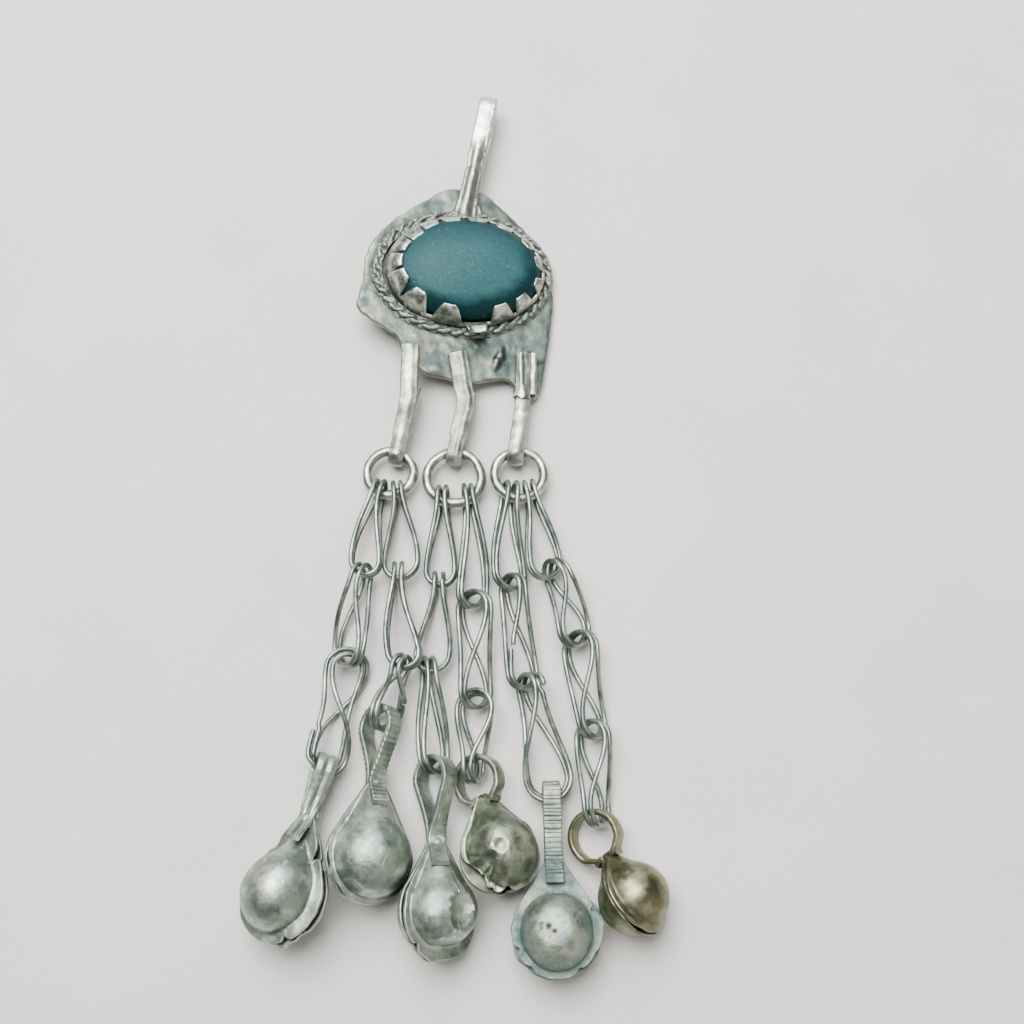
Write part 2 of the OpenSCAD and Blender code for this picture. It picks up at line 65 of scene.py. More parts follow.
# Links: top, end, turn of the arches and of the loops in degrees, half width of the arches
# and of the loops, half gap between the arches and between the loops, sideways bow, and how
# far one arch and one loop sits inside the other
LINKS = {
    "a1": ((-16.2, 3.4, 1.9), (-17.8, -8.8, 3.2), 95, 102, 1.40, 1.80, 0.45, 0.38, -0.6, 0, 0),
    "a2": ((-18.0, -7.5, 3.2), (-19.8, -19.7, 2.2), 108, 135, 1.75, 2.20, 0.50, 0.42, -0.3, 0, 0),
    "a3": ((-19.4, -18.0, 2.05), (-22.1, -32.3, 2.45), 165, 60, 2.20, 1.95, 0.20, 0.42, 0, 0.16, 0.15),
    "b1": ((-14.35, 3.25, 1.9), (-13.7, -8.9, 1.8), 88, 92, 1.40, 2.05, 0.45, 0.38, 0.4, 0, 0),
    "b2": ((-13.95, -7.1, 1.9), (-12.4, -20.2, 4.1), 82, 102, 1.60, 1.90, 0.45, 0.42, -0.6, 0, 0),
    "b3": ((-12.8, -18.8, 4.1), (-15.5, -27.3, 2.5), 112, 36, 1.60, 1.85, 0.45, 0.42, 0, 0, 0),
    "c1": ((-8.6, 2.7, 1.9), (-8.75, -9.8, 1.9), 95, 95, 1.40, 1.75, 0.45, 0.42, 0, 0, 0),
    "c2": ((-8.9, -8.3, 1.9), (-9.9, -20.3, 1.8), 90, 85, 1.50, 2.00, 0.50, 0.42, 0.3, 0, 0),
    "c3": ((-10.1, -18.7, 1.9), (-9.1, -32.35, 2.6), 75, 42, 1.50, 1.90, 0.45, 0.42, 0, 0, 0),
    "d1": ((-5.6, 2.9, 1.9), (-4.9, -12.4, 1.9), 85, 60, 1.40, 1.75, 0.42, 0.42, 0.5, 0, 0),
    "d2": ((-4.6, -10.6, 2.15), (-4.3, -24.7, 2.0), 35, 55, 2.20, 1.90, 0.45, 0.42, 0, 0, 0),
    "d3": ((-4.3, -22.8, 2.05), (-4.55, -33.5, 2.4), 25, 25, 2.10, 1.75, 0.35, 0.45, 0, 0.10, 0),
    "e1": ((-0.1, 3.3, 1.9), (-0.1, -10.2, 1.9), 75, 65, 1.50, 1.85, 0.60, 0.42, -0.5, 0, 0),
    "e2": ((0.0, -8.5, 2.0), (1.5, -22.4, 2.0), 50, 60, 1.80, 1.80, 0.45, 0.42, -0.1, 0, 0),
    "e3": ((1.8, -20.7, 2.15), (4.75, -35.4, 1.9), 55, 90, 1.80, 2.50, 0.45, 0.42, 0, 0, 0.08),
    "f1": ((2.0, 3.35, 1.9), (4.3, -8.9, 2.1), 90, 70, 1.40, 1.95, 0.50, 0.42, 0.15, 0, 0),
    "f2": ((4.8, -6.8, 2.33), (7.8, -17.2, 2.1), 60, 55, 2.00, 2.00, 0.50, 0.42, 0.5, 0, 0),
    "f3": ((8.1, -15.6, 2.15), (9.9, -28.2, 2.0), 40, 50, 2.20, 1.80, 0.45, 0.42, -0.3, 0, 0),
    "f4": ((9.5, -26.3, 2.25), (9.95, -38.5, 2.5), 40, 32, 2.10, 2.10, 0.45, 0.42, 0, 0, 0),
}
# Where a link's wire is cut and its two ends show: the place on the table in millimetres, and
# how far the ends lie side by side
CUTS = {
    "a3": ((-23.4, -28.5, 3.6), 3.2), "b3": ((-12.9, -24.3, 2.6), 0), "c2": ((-8.6, -9.6, 2.4), 0),
    "e2": ((1.0, -18.0, 2.6), 0), "e3": ((4.4, -21.7, 2.6), 1.2), "f4": ((12.1, -37.0, 2.4), 0),
}

# Bells: middle x and y, lean to the right, droop towards the loop, turn of the lips (right
# side up), dome radius, lip radius, length to the neck's top, turn of the loop (right side
# up), loop radius, strip width, distance to the loop's middle, length of the teardrop's
# point, and how far from the middle the front strip ends
Bell = namedtuple("Bell", "x y lean droop turn dome lip top loop_turn loop_r wide far point stop")
BELLS = {
    "bell_1": Bell(-25.9, -46.3, 14.5, 9.5, 27, 4.95, 5.5, 9.2, 72, 2.0, 2.2, 14.8, 6.0, 6.0),
    "bell_2": Bell(-16.3, -42.1, 2.5, 8.5, -30, 4.9, 5.3, 8.6, 42, 2.7, 2.0, 15.2, 8.0, 5.8),
    "bell_3": Bell(-8.4, -48.3, -2.5, 7.0, -42, 4.6, 5.2, 8.1, 42, 2.7, 2.1, 15.4, 8.5, 5.2),
    "bell_4": Bell(-1.4, -41.65, -17, 10.5, -20, 4.4, 4.75, 6.6, 28, 3.1, 1.9, 8.8, 5.0, 6.0),
    "bell_5": Bell(5.05, -50.25, -1.6, 9.0, 0, 4.2, 5.2, 7.9, 88, 1.7, 2.1, 15.4, 8.0, 5.2),
    "bell_6": Bell(13.9, -46.6, -31.5, 12, -57, 4.15, 4.6, 5.5, 25, 3.2, 1.9, 8.2, 5.0, 5.2),
}
# How much further each loop's arms turn on their way down to the shell
TWISTS = {"bell_1": 30, "bell_2": 24, "bell_3": 36}
# Dents: x, y, z and radius of the ball that pressed each one, in the bell's own directions
DENTS = {
    "bell_2": [(-3.2, -7.4, 3.6, 4.6)],
    "bell_3": [(3.80, 0.3, 3.95, 2.05), (3.80, -1.1, 3.90, 2.05), (0.45, -3.45, 4.43, 1.35),
               (-0.7, -3.75, 4.05, 1.35), (-1.65, -4.05, 3.55, 1.35), (1.5, -3.2, 4.3, 1.35)],
    "bell_4": [(0.36, -0.1, 5.52, 1.5), (-5.9, 1.4, 11.9, 9.0)],
    "bell_5": [(-1.4, 0.1, 16.0, 12.0)],
}
# How far each half's dome stands in from its flange at some angles (degrees from the
# bell's right, share of the dome's radius), and notches in the flange (degrees, half width
# in degrees, depth in millimetres)
DOMES = {
    ("bell_1", 1): ([(-100, 0.94), (-45, 0.84), (0, 0.82), (45, 0.84), (90, 1.0), (180, 1.0),
                     (225, 0.98)],
                    [(-64, 3, 0.7), (58, 4, 1.1), (118, 5, 0.7)]),
    ("bell_1", -1): ([], [(48, 4, 1.0), (-46, 5, 0.7), (-72, 4, -0.5), (-20, 20, -0.15)]),
    ("bell_2", 1): ([(180, 0.96), (240, 0.97), (0, 1.0), (90, 1.0)], [(196, 5, 0.15)]),
    ("bell_3", 1): ([(-90, 0.80), (-50, 0.86), (-130, 0.90), (180, 0.97), (90, 1.0), (0, 1.0)],
                    [(-134, 3, 0.5), (-60, 8, -0.25), (-104, 9, -0.25)]),
    ("bell_3", -1): ([], [(-60, 10, -0.3), (-104, 9, -0.25), (-134, 3, 0.3)]),
    ("bell_4", 1): ([(176, 0.95), (203, 0.78), (235, 0.84), (258, 0.96), (0, 1.0), (90, 1.0)],
                    [(203, 20, 1.1), (226, 14, 0.5), (219, 2.5, 0.3), (232, 2.5, -0.35),
                     (240, 2.0, 0.3), (262, 8, 0.6)]),
    ("bell_4", -1): ([(170, 0.95), (200, 0.72), (232, 0.74), (250, 1.0), (0, 1.0), (90, 1.0)],
                     [(214, 30, -0.3), (268, 4, 0.4)]),
    ("bell_5", 1): ([(0, 0.99), (90, 1.0), (180, 0.99), (270, 1.08)],
                    [(28, 4, 0.6), (12, 8, -0.2), (203, 4, 0.5), (232, 5, 0.25), (255, 8, -0.1),
                     (300, 5, 0.3), (330, 4, 0.15), (150, 5, 0.2)]),
    ("bell_5", -1): ([], [(212, 9, -0.3), (262, 8, -0.12), (20, 10, -0.1)]),
    ("bell_6", 1): ([(90, 1.0), (180, 0.93), (240, 0.93), (0, 1.0)], []),
}
# Where the dome's cone ends on the way to the neck, and its radius there. None: no cone.
CONES = {("bell_1", 1): (7.2, 0.5), ("bell_5", 1): None}
# How far the two halves stand apart at the seam at some angles, as a share of the lip gap
SEAMS = {
    "bell_1": [(-90, 1.0), (-45, 1.5), (30, 1.5), (62, 0.6), (95, 0), (170, 0.1), (225, 0.6)],
    "bell_2": [(-90, 0.3), (0, 0.1), (90, 0), (130, 0.2), (180, 0.6), (230, 0.6)],
    "bell_3": [(-90, 1.0), (-30, 0.5), (30, 0), (100, 0), (150, 0.2), (180, 0.6), (225, 0.8)],
    "bell_4": [(-78, 2.4), (-50, 0.8), (0, 0.1), (90, 0), (170, 0.1), (225, 0.1), (246, 0.5),
               (260, 2.0)],
    "bell_5": [(-90, 0.8), (0, 0.6), (40, 0.2), (90, 0), (140, 0.2), (200, 0.9)],
    "bell_6": [(-128, 1.6), (-108, 0.5), (-80, 0), (90, 0), (180, 0), (-158, 0), (-146, 0.5)],
}
# Pits in bell_5 and the places where verdigris lies on it: places on the table and their reach
PITS = [(3.32, -49.38, 7.55, 0.44), (4.09, -49.58, 7.85, 0.50), (4.74, -50.11, 8.0, 0.42),
        (7.26, -49.12, 7.40, 0.42), (3.30, -49.86, 7.62, 0.40)]
CRUSTS = [(5.6, -43.8, 4.2, 4.6), (9.8, -48.4, 4.8, 3.4), (0.3, -50.0, 4.9, 3.4),
          (5.0, -54.9, 5.5, 3.6), (1.3, -53.6, 5.3, 3.4), (9.0, -53.0, 5.2, 3.4)]

# The plate's outline from the stone's middle, on the plate
PLATE_EDGE = [
    (-1.7, 12.2), (-4.6, 10.6), (-7.7, 8.4), (-9.9, 6.4), (-11.8, 4.0), (-12.6, 2.0),
    (-12.8, -0.9), (-13.5, -4.4), (-13.2, -5.7), (-11.4, -7.1), (-9.5, -8.1), (-8.3, -9.2),
    (-7.5, -11.3), (-4.8, -13.8), (-2.8, -14.3), (-1.1, -14.6), (1.9, -14.8), (3.3, -14.5),
    (4.6, -14.2), (5.9, -14.3), (6.5, -14.9), (6.9, -16.7), (9.4, -16.7), (9.8, -16.0),
    (10.5, -14.3), (11.2, -10.1), (11.7, -6.3), (12.0, -3.4), (11.8, -0.5), (11.5, 1.5),
    (10.6, 4.0), (9.3, 5.6), (7.1, 8.2), (4.7, 10.2), (2.5, 12.0),
]
# The raised seam of solder on the plate
RIDGE = np.array([(5.2, -9.9), (6.0, -9.75), (6.8, -9.75), (7.6, -9.95), (8.4, -10.3), (9.1, -10.9),
                  (9.6, -11.6)])
# Lumps of solder on the plate: x, y, how far each reaches both ways, height
LUMPS = [(4.95, -10.3, 0.30, 0.55, 0.34), (4.60, -11.2, 0.34, 0.45, 0.46),
         (4.35, -12.0, 0.36, 0.50, 0.40), (5.15, -11.0, 0.22, 0.30, 0.30),
         (4.05, -12.7, 0.25, 0.35, 0.22), (-6.1, -8.9, 1.3, 0.8, 0.16), (-3.2, -13.0, 1.8, 0.6, 0.12),
         (1.2, -9.7, 1.8, 0.6, 0.16), (-1.9, -10.0, 0.9, 0.5, 0.12), (-0.4, 10.2, 2.0, 0.9, 0.25),
         (6.9, -13.5, 0.3, 1.2, 0.14), (-11.0, -3.5, 0.8, 1.4, 0.12)]
# Teeth: place round the oval in degrees, width at the foot, length, fold inwards in degrees,
# and the share of the width that its blunt tip takes
TEETH = [
    (12, 2.4, 1.0, 50, 0.5), (35, 2.4, 1.1, 50, 0.5), (60, 2.6, 1.3, 54, 0.5), (82, 2.9, 1.6, 56, 0.6),
    (102, 2.9, 1.7, 58, 0.6), (121, 3.0, 1.9, 58, 0.65), (139, 3.2, 2.3, 54, 0.65),
    (157, 3.0, 2.3, 50, 0.65), (179, 3.3, 2.2, 46, 0.6), (201, 3.4, 2.5, 42, 0.5),
    (227, 3.9, 2.3, 46, 0.34), (256, 3.9, 2.1, 44, 0.36), (277, 3.0, 1.7, -64, 0.6),
    (298, 3.2, 1.9, 42, 0.45), (320, 2.8, 1.6, 46, 0.5), (346, 2.3, 1.1, 48, 0.4),
]
# Hangers: x at the top, x of the kink, x where it holds its ring, y at the top, y of the
# kink, y of the back strip's end, and the ring that it holds
Hanger = namedtuple("Hanger", "top_x kink_x hold_x top_y kink_y back_y ring")
HANGERS = [
    Hanger(-12.8, -12.9, -14.3, 20.6, 13.4, 15.8, "ring_left"),
    Hanger(-6.9, -5.8, -7.1, 20.0, 13.4, 15.2, "ring_middle"),
    Hanger(1.5, 1.3, 0.5, 20.2, 13.4, 14.2, "ring_right"),
]
# Places on the table: the bail's foot and the stone's middle. The bail's eye is given from its
# foot, along the strip and up.
BAIL_ROOT = (-6.2, 38.9)
BAIL_EYE = (15.5, 2.75)
BAIL_EYE_R = 1.75
STONE_AT = (-6.5, 30.9)


def linear(code):
    """Turns an sRGB hex colour into the linear one that a shader takes."""
    parts = [int(code[i:i + 2], 16) / 255 for i in (1, 3, 5)]
    return tuple(c / 12.92 if c <= 0.04045 else ((c + 0.055) / 1.055) ** 2.4 for c in parts) + (1.0,)


def length(name, text, usual, low, high):
    """A length property, kept in metres, with its default given in millimetres."""
    return bpy.props.FloatProperty(name=name, description=text, default=usual / 1000,
                                   min=low / 1000, max=high / 1000, unit="LENGTH", precision=5)


def tint(name, text, code):
    """A colour property with its default given as an sRGB hex value."""
    return bpy.props.FloatVectorProperty(name=name, description=text, subtype="COLOR", size=4,
                                         min=0.0, max=1.0, default=linear(code))


class SettingSizes(bpy.types.PropertyGroup):
    """Sizes of the stone's setting, its hangers and its bail"""
    plate_thick: length("Plate", "Thickness of the back plate", 0.8, 0.5, 1.2)
    plate_under: length("Plate height", "Height of the plate's underside below the stone", 2.1, 1.5, 3)
    plate_lean: bpy.props.FloatProperty(name="Lean", description="How far the plate leans, left side up",
                                        default=math.radians(8), min=0, max=0.3, subtype="ANGLE")
    bezel_long: length("Bezel length", "Length of the bezel's inside", 19.3, 18, 20)
    bezel_wide: length("Bezel width", "Width of the bezel's inside", 14.1, 13, 15)
    bezel_shift: length("Bezel shift", "How far the bezel sits right of the border's middle", 0.35, 0, 1)
    bezel_high: length("Bezel height", "Height of the bezel's wall", 2.7, 2, 3.5)
    bezel_thick: length("Bezel wall", "Thickness of the bezel's wall", 0.6, 0.4, 0.8)
    strand: length("Strand", "Radius of one strand of the twisted border", 0.45, 0.4, 0.6)
    twists: bpy.props.IntProperty(name="Twists", description="Full turns of the twisted border",
                                  default=19, min=12, max=30)
    stone_high: length("Stone height", "Height of the stone above the plate", 4.3, 3, 5)
    hanger_wide: length("Hanger width", "Width of a hanger's strip", 2.0, 1.8, 2.4)
    hanger_thick: length("Hanger strip", "Thickness of a hanger's strip", 0.6, 0.5, 0.7)
    bail_wide: length("Bail width", "Width of the bail's strip", 2.2, 1.8, 2.6)
    bail_thick: length("Bail strip", "Thickness of the bail's strip", 0.7, 0.5, 0.9)
    bail_lean: bpy.props.FloatProperty(name="Bail lean", default=math.radians(11), min=0, max=0.4,
                                       description="How far the bail leans to the right",
                                       subtype="ANGLE")


class ChainSizes(bpy.types.PropertyGroup):
    """Sizes of the rings' and the links' wire"""
    wire: length("Link wire", "Radius of the wire of the links", 0.31, 0.2, 0.4)
    ring_wire: length("Ring wire", "Radius of the wire of the three rings", 0.62, 0.5, 0.7)
    ring_height: length("Ring height", "Height of the rings' centre above the table", 1.9, 1.6, 2.4)
    sides: bpy.props.IntProperty(name="Sides", description="Flat sides round a link's wire",
                                 default=14, min=6, max=32)


class BellSizes(bpy.types.PropertyGroup):
    """Sizes of the pressed bells"""
    sheet: length("Sheet", "Thickness of the bells' metal", 0.42, 0.3, 0.7)
    lip_gap: length("Lip gap", "Gap between the lips of a bell", 0.36, 0.2, 0.6)
    lip_thick: length("Lip", "Thickness of each lip", 0.45, 0.3, 0.6)


class Finishes(bpy.types.PropertyGroup):
    """Colours of the metals, the stone and the table"""
    rubbed: tint("Rubbed metal", "White metal where it is rubbed bright", "#d9ddd0")
    filed: tint("Filed metal", "White metal strip between rubbed and dulled", "#c6cbbb")
    dulled: tint("Dulled metal", "White metal under a thin tarnish", "#8f958a")
    sheet_blue: tint("Plate, blued", "Blue-grey tarnish of the plate", "#414e4b")
    sheet_cream: tint("Plate, pale", "Creamy rubbed parts of the plate", "#777d70")
    wire_dull: tint("Wire, dulled", "Link wire under a green-grey tarnish", "#76837c")
    wire_pale: tint("Wire, rubbed", "Link wire where it is rubbed", "#a9b2a8")
    greened: tint("Greened metal", "White metal under a green-blue tarnish", "#8b988e")
    greened_pale: tint("Greened metal, rubbed", "Greened metal where it is rubbed", "#bcc4b6")
    # the grime colour darkens specks and pits, and in the recesses it is both dirt and painted shade
    grime_and_shade: tint("Grime", "Dirt in the recesses", "#26261f")
    verdigris: tint("Verdigris", "Blue-green crust", "#4a6160")
    olive: tint("Olive brass", "Brass under an olive tarnish", "#8b8e72")
    umber: tint("Brown brass", "Brass under a brown tarnish", "#6b674f")
    greyed: tint("Grey brass", "Brass under a grey-green tarnish", "#737b6b")
    greyed_pale: tint("Grey brass, rubbed", "Greyed brass where it is rubbed", "#a7ae99")
    white: tint("Burnished metal", "White metal burnished on the bail's eye", "#f1f4ee")
    stain: tint("Stain", "Olive-brown stain on the plate and the shells", "#5d5c49")
    stone_pale: tint("Stone, pale", "Pale middle of the stone", "#305659")
    # the stone's edge colour: painted shade round its rim, and a painted dark reflection at its bottom
    stone_deep: tint("Stone, deep", "Deep edge of the stone", "#0b2a2c")
    stone_fleck: tint("Stone, flecks", "Small pale flecks in the stone", "#7f9c99")
    table: tint("Table", "Pale floor", "#d8d5d0")


# Shapes as arrays of points, in millimetres

def mm(value):
    """Metres as millimetres."""
    return value * 1000


def smooth(s):
    """Eases from 0 to 1."""
    s = np.clip(s, 0.0, 1.0)
    return s * s * (3 - 2 * s)


def hump(v, at, wide):
    """A smooth hump, 1 high, round one place."""
    return np.exp(-((v - at) / wide) ** 2)


def soft_max(a, b, k):
    """The larger of two values, rounded off where they are less than k apart."""
    return np.maximum(a, b) + np.maximum(k - np.abs(a - b), 0) ** 2 / (4 * k)


def unit(v):
    """Directions with a length of 1."""
    v = np.asarray(v, float)
    return v / np.maximum(np.linalg.norm(v, axis=-1, keepdims=True), 1e-12)


def turned(p, degrees, axis):
    """Points turned about the x, y or z axis."""
    a = math.radians(degrees)
    c, s = math.cos(a), math.sin(a)
    m = {"x": [[1, 0, 0], [0, c, -s], [0, s, c]], "y": [[c, 0, s], [0, 1, 0], [-s, 0, c]],
         "z": [[c, -s, 0], [s, c, 0], [0, 0, 1]]}[axis]
    return np.asarray(p, float) @ np.array(m).T


def oval(n, rx, ry):
    """Angles, points and outward directions at n places round an oval."""
    a = 2 * math.pi * np.arange(n) / n
    c, s = np.cos(a), np.sin(a)
    return a, np.column_stack([rx * c, ry * s]), unit(np.column_stack([c / rx, s / ry]))


def bend(points, steps, closed=False):
    """A smooth line through the given points."""
    p = np.asarray(points, float)
    n = len(p)
    out = []
    for i in range(n if closed else n - 1):
        near = [(i + k) % n if closed else min(max(i + k, 0), n - 1) for k in (-1, 0, 1, 2)]
        a, b, c, d = p[near]
        for s in np.arange(steps) / steps:
            out.append(0.5 * (2 * b + (c - a) * s + (2 * a - 5 * b + 4 * c - d) * s * s
                              + (3 * b - a - 3 * c + d) * s ** 3))
    if not closed:
        out.append(p[-1])
    return np.array(out)


def even(path, step):
    """The same line with its points a fixed distance apart."""
    d = np.concatenate([[0], np.cumsum(np.linalg.norm(np.diff(path, axis=0), axis=1))])
    n = max(2, int(round(d[-1] / step)) + 1)
    at = np.linspace(0, d[-1], n)
    return np.stack([np.interp(at, d, path[:, k]) for k in range(path.shape[1])], 1)


def uneven(p, grain, seed, waves=9):
    """Smooth unevenness between about -1 and 1, with bumps about one grain across."""
    rng = np.random.default_rng(seed)
    total = np.zeros(len(p))
    for _ in range(waves):
        k = unit(rng.normal(size=3)) * (2 * math.pi / (grain * 2)) * rng.uniform(0.6, 1.5)
        total += np.sin(p @ k + rng.uniform(0, 6.28))
    return total / math.sqrt(waves) / 1.2


def on_floor(p):
    """Flat points with a height of zero."""
    return np.column_stack([p, np.zeros(len(p))])


def lifted(points, rise):
    """Points raised, each by its own amount."""
    return points + np.column_stack([np.zeros((len(points), 2)), rise])


def roughened(rounds, way, *coats):
    """Rounds of points pushed along a way by uneven coats: the depth, grain and seed of each."""
    flat = rounds.reshape(-1, 3)
    push = sum(depth * uneven(flat, grain, seed) for depth, grain, seed in coats)
    return rounds + push.reshape(rounds.shape[:2])[..., None] * way


def tangents(path, closed):
    """The way that a line runs at each of its points."""
    if closed:
        return unit(np.roll(path, -1, 0) - np.roll(path, 1, 0))
    return unit(np.gradient(path, axis=0))


def wire_rings(path, radius, sides, closed=False):
    """Rounds of points along a wire, with a cross direction carried from one to the next."""
    t = tangents(path, closed)
    n = len(path)
    v = np.array([0, 0, 1.0]) if abs(t[0][2]) < 0.9 else np.array([1.0, 0, 0])
    across = []
    for i in range(n):
        v = unit(v - t[i] * (v @ t[i]))
        across.append(v)
    across = np.array(across)
    slip = 0.0
    if closed:
        back = unit(across[-1] - t[0] * (across[-1] @ t[0]))
        slip = math.atan2(np.cross(across[0], back) @ t[0], across[0] @ back)
    over = np.cross(t, across)
    angle = (2 * math.pi * np.arange(sides) / sides)[None, :] - slip * (np.arange(n) / n)[:, None]
    radius = np.broadcast_to(np.asarray(radius, float), (n,))
    return path[:, None, :] + radius[:, None, None] * (
        np.cos(angle)[..., None] * across[:, None, :] + np.sin(angle)[..., None] * over[:, None, :])


def band(wide, thick, relief=None, corner=0.18):
    """Outline across a flat strip: x across it, y out of its face, with worn corners."""
    w, t = wide / 2, thick / 2
    r = min(corner, t * 0.9)
    x = np.linspace(-(w - r), w - r, 15)
    lift = relief(x / w) if relief else 0 * x
    points = list(zip(x, t + lift))
    # the corners: middle, first direction and steps in degrees, and how far the relief lifts each
    for cx, cy, turn, steps, rise in (
            (w - r, t - r, 90, (22, 45, 67), lift[-1]), (w - r, r - t, 0, (15, 45, 75), 0),
            (r - w, r - t, -90, (15, 45, 75), 0), (r - w, t - r, 180, (23, 45, 68), lift[0])):
        for step in steps:
            a = math.radians(turn - step)
            points.append((cx + r * math.cos(a), cy + r * math.sin(a) + rise))
        if turn == 0:
            points.append((0.0, -t))
    return np.array(points)


def band_rings(path, across, section, outward=1.0):
    """Rounds of points along a strip whose width keeps to a cross direction."""
    t = tangents(path, False)
    a = np.broadcast_to(np.asarray(across, float), path.shape)
    a = unit(a - t * (a * t).sum(1, keepdims=True))
    n = np.cross(a, t) * outward
    s = np.asarray(section, float)
    if s.ndim == 2:
        s = np.broadcast_to(s, (len(path),) + s.shape)
    return path[:, None, :] + s[..., :1] * a[:, None, :] + s[..., 1:2] * n[:, None, :]


def loft(rounds, closed=False):
    """Points and faces of a skin over rounds of points, with its ends closed."""
    n, m = rounds.shape[:2]
    faces = [(i * m + k, i * m + (k + 1) % m, (i + 1) % n * m + (k + 1) % m, (i + 1) % n * m + k)
             for i in range(n if closed else n - 1) for k in range(m)]
    if not closed:
        faces += [tuple(range(m)), tuple((n - 1) * m + k for k in reversed(range(m)))]
    return rounds.reshape(-1, 3), faces


def joined(parts):
    """Several skins as one."""
    points, faces, base = [], [], 0
    for p, f in parts:
        points.append(np.asarray(p, float))
        faces += [tuple(i + base for i in face) for face in f]
        base += len(p)
    return np.concatenate(points), faces


def add_piece(name, skin, material, stands_for, sharp=48.0, fix=True):
    """Makes one piece from a skin in table millimetres and sets it on the frame."""
    points, faces = skin
    mesh = bpy.data.meshes.new(name)
    mesh.from_pydata(((np.asarray(points) - MID) / 1000).tolist(), [], faces)
    if fix:
        work = bmesh.new()
        work.from_mesh(mesh)
        bmesh.ops.recalc_face_normals(work, faces=work.faces)
        work.to_mesh(mesh)
        work.free()
    mesh.update()
    mesh.shade_smooth()
    mesh.set_sharp_from_angle(angle=math.radians(sharp))
    piece = bpy.data.objects.new(name, mesh)
    bpy.context.scene.collection.objects.link(piece)
    mesh.materials.append(material)
    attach(piece, "root")
    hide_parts(stands_for)
    return piece


# Materials

def add(tree, kind, given=None):
    """Adds one node. What is given is a setting, an input's value, or a node or output to link."""
    made = tree.nodes.new("ShaderNode" + kind)
    for key, value in (given or {}).items():
        if isinstance(value, bpy.types.Node):
            value = next(out for out in value.outputs if out.enabled)
        if isinstance(value, bpy.types.NodeSocket):
            tree.links.new(value, made.inputs[key])
        elif isinstance(key, str) and hasattr(made, key):
            setattr(made, key, value)
        else:
            made.inputs[key].default_value = value
    return made


def new_material(name):
    """An empty material, its tree, and each point's place on the pendant."""
    material = bpy.data.materials.new(name)
    material.use_nodes = True
    material.node_tree.nodes.clear()
    return material, material.node_tree, add(material.node_tree, "TexCoord").outputs["Object"]


def finish_colours():
    """The finishes' colours by name."""
    finishes = bpy.context.scene.pendant_finishes
    return {key: tuple(getattr(finishes, key)) for key in Finishes.__annotations__}


# Each metal: its name, its rubbed and its tarnished colour, and how worn_metal finishes it
METALS = {
    # Low-grade white metal sheet, sawn and soldered by hand: soft uneven gloss, blue-grey and cream
    # blotches, bright sawn edges, brown dirt and painted shade against the border, and painted shade
    # darkening it towards the right
    "sheet": ("White metal sheet, hand sawn", "sheet_cream", "sheet_blue",
              dict(rough=0.42, blotch=3.4, hammered=0.06, dirt_and_shade=0.9, bright_edge="rubbed", stain="stain",
                   stained=0.55, darker_along=("X", -12.0, 3.0, 0.66, "sheet_blue"))),
    # Strip rubbed by wear: whitish and smoother than the plate, long soft highlights
    "strip": ("White metal strip, filed and rubbed", "filed", "dulled",
              dict(rough=0.36, blotch=2.4, hammered=0.06, dirt_and_shade=0.9, bright_edge="rubbed",
                   stain="greened", stained=0.5)),
    # The same strip, burnished whiter, and darker towards its foot
    "bail": ("White metal strip, burnished", "white", "rubbed",
             dict(rough=0.33, blotch=2.0, hammered=0.11, dirt_and_shade=0.2, bright_edge="white", edge=0.12,
                  darker_along=("Y", 50.5, 43.5, 0.9, "dulled"))),
    # The middle hanger's strip, duller and greener than its neighbours
    "strip_dull": ("White metal strip, filed and dulled", "greened_pale", "dulled",
                   dict(rough=0.48, blotch=1.8, hammered=0.12, dirt_and_shade=0.9, bright_edge="rubbed",
                        stain="stain", stained=0.5)),
    # Thin bezel strip burnished over the stone: bright tips, and painted brown-grey shade low against
    # the plate
    "bezel": ("White metal bezel strip, burnished", "rubbed", "dulled",
              dict(rough=0.30, blotch=1.8, hammered=0.03, dirt_and_shade=0.95, bright_edge="white",
                   shaded_below=(1.3, 3.2))),
    # Twisted wire bedded in solder: dull and pitted, with dirt and painted shade in its hollows
    "twist": ("White metal twisted wire, bedded in solder", "greened", "dulled",
              dict(rough=0.44, blotch=0.9, hammered=0.14, dirt_and_shade=0.8, stain="stain", stained=0.7)),
    # Drawn wire, annealed and handled: green-grey with thin bright lines along it
    "wire": ("White metal wire, drawn", "wire_pale", "wire_dull",
             dict(rough=0.34, blotch=2.2, hammered=0.02, dirt_and_shade=0.55, edge=0.0)),
    # Thick wire rings, hammered round: creamy and olive
    "ring": ("White metal wire, thick and hammered", "rubbed", "dulled",
             dict(rough=0.32, blotch=2.2, hammered=0.05, dirt_and_shade=0.9, edge=0.0)),
    # Pressed shells under a green-blue tarnish with a satin gloss
    "shell": ("White metal shell, pressed and greened", "greened_pale", "greened",
              dict(rough=0.42, blotch=2.6, hammered=0.07, dirt_and_shade=0.9, bright_edge="rubbed",
                   edge_from=0.56, stain="stain", stained=0.35)),
    # The same shell with a blue-green copper crust round the solder and the flange
    "crusted": ("White metal shell, pressed, with verdigris", "greyed_pale", "greened",
                dict(rough=0.54, blotch=1.8, hammered=0.07, dirt_and_shade=0.9, bright_edge="rubbed",
                     edge_from=0.56, stain="stain", stained=0.4, crusts=CRUSTS, pits=PITS)),
    # Pressed brass that has lost its silvering: olive and brown blotches
    "olive": ("Brass shell, pressed and tarnished", "olive", "umber",
              dict(rough=0.38, blotch=3.0, hammered=0.05, dirt_and_shade=0.6, edge_from=0.56)),
    # The same brass under a greyer tarnish, with olive patches
    "greyed": ("Brass shell, pressed and greyed", "greyed_pale", "greyed",
               dict(rough=0.38, blotch=2.2, hammered=0.06, dirt_and_shade=0.55, edge_from=0.56, stain="umber",
                    stained=0.5)),
}


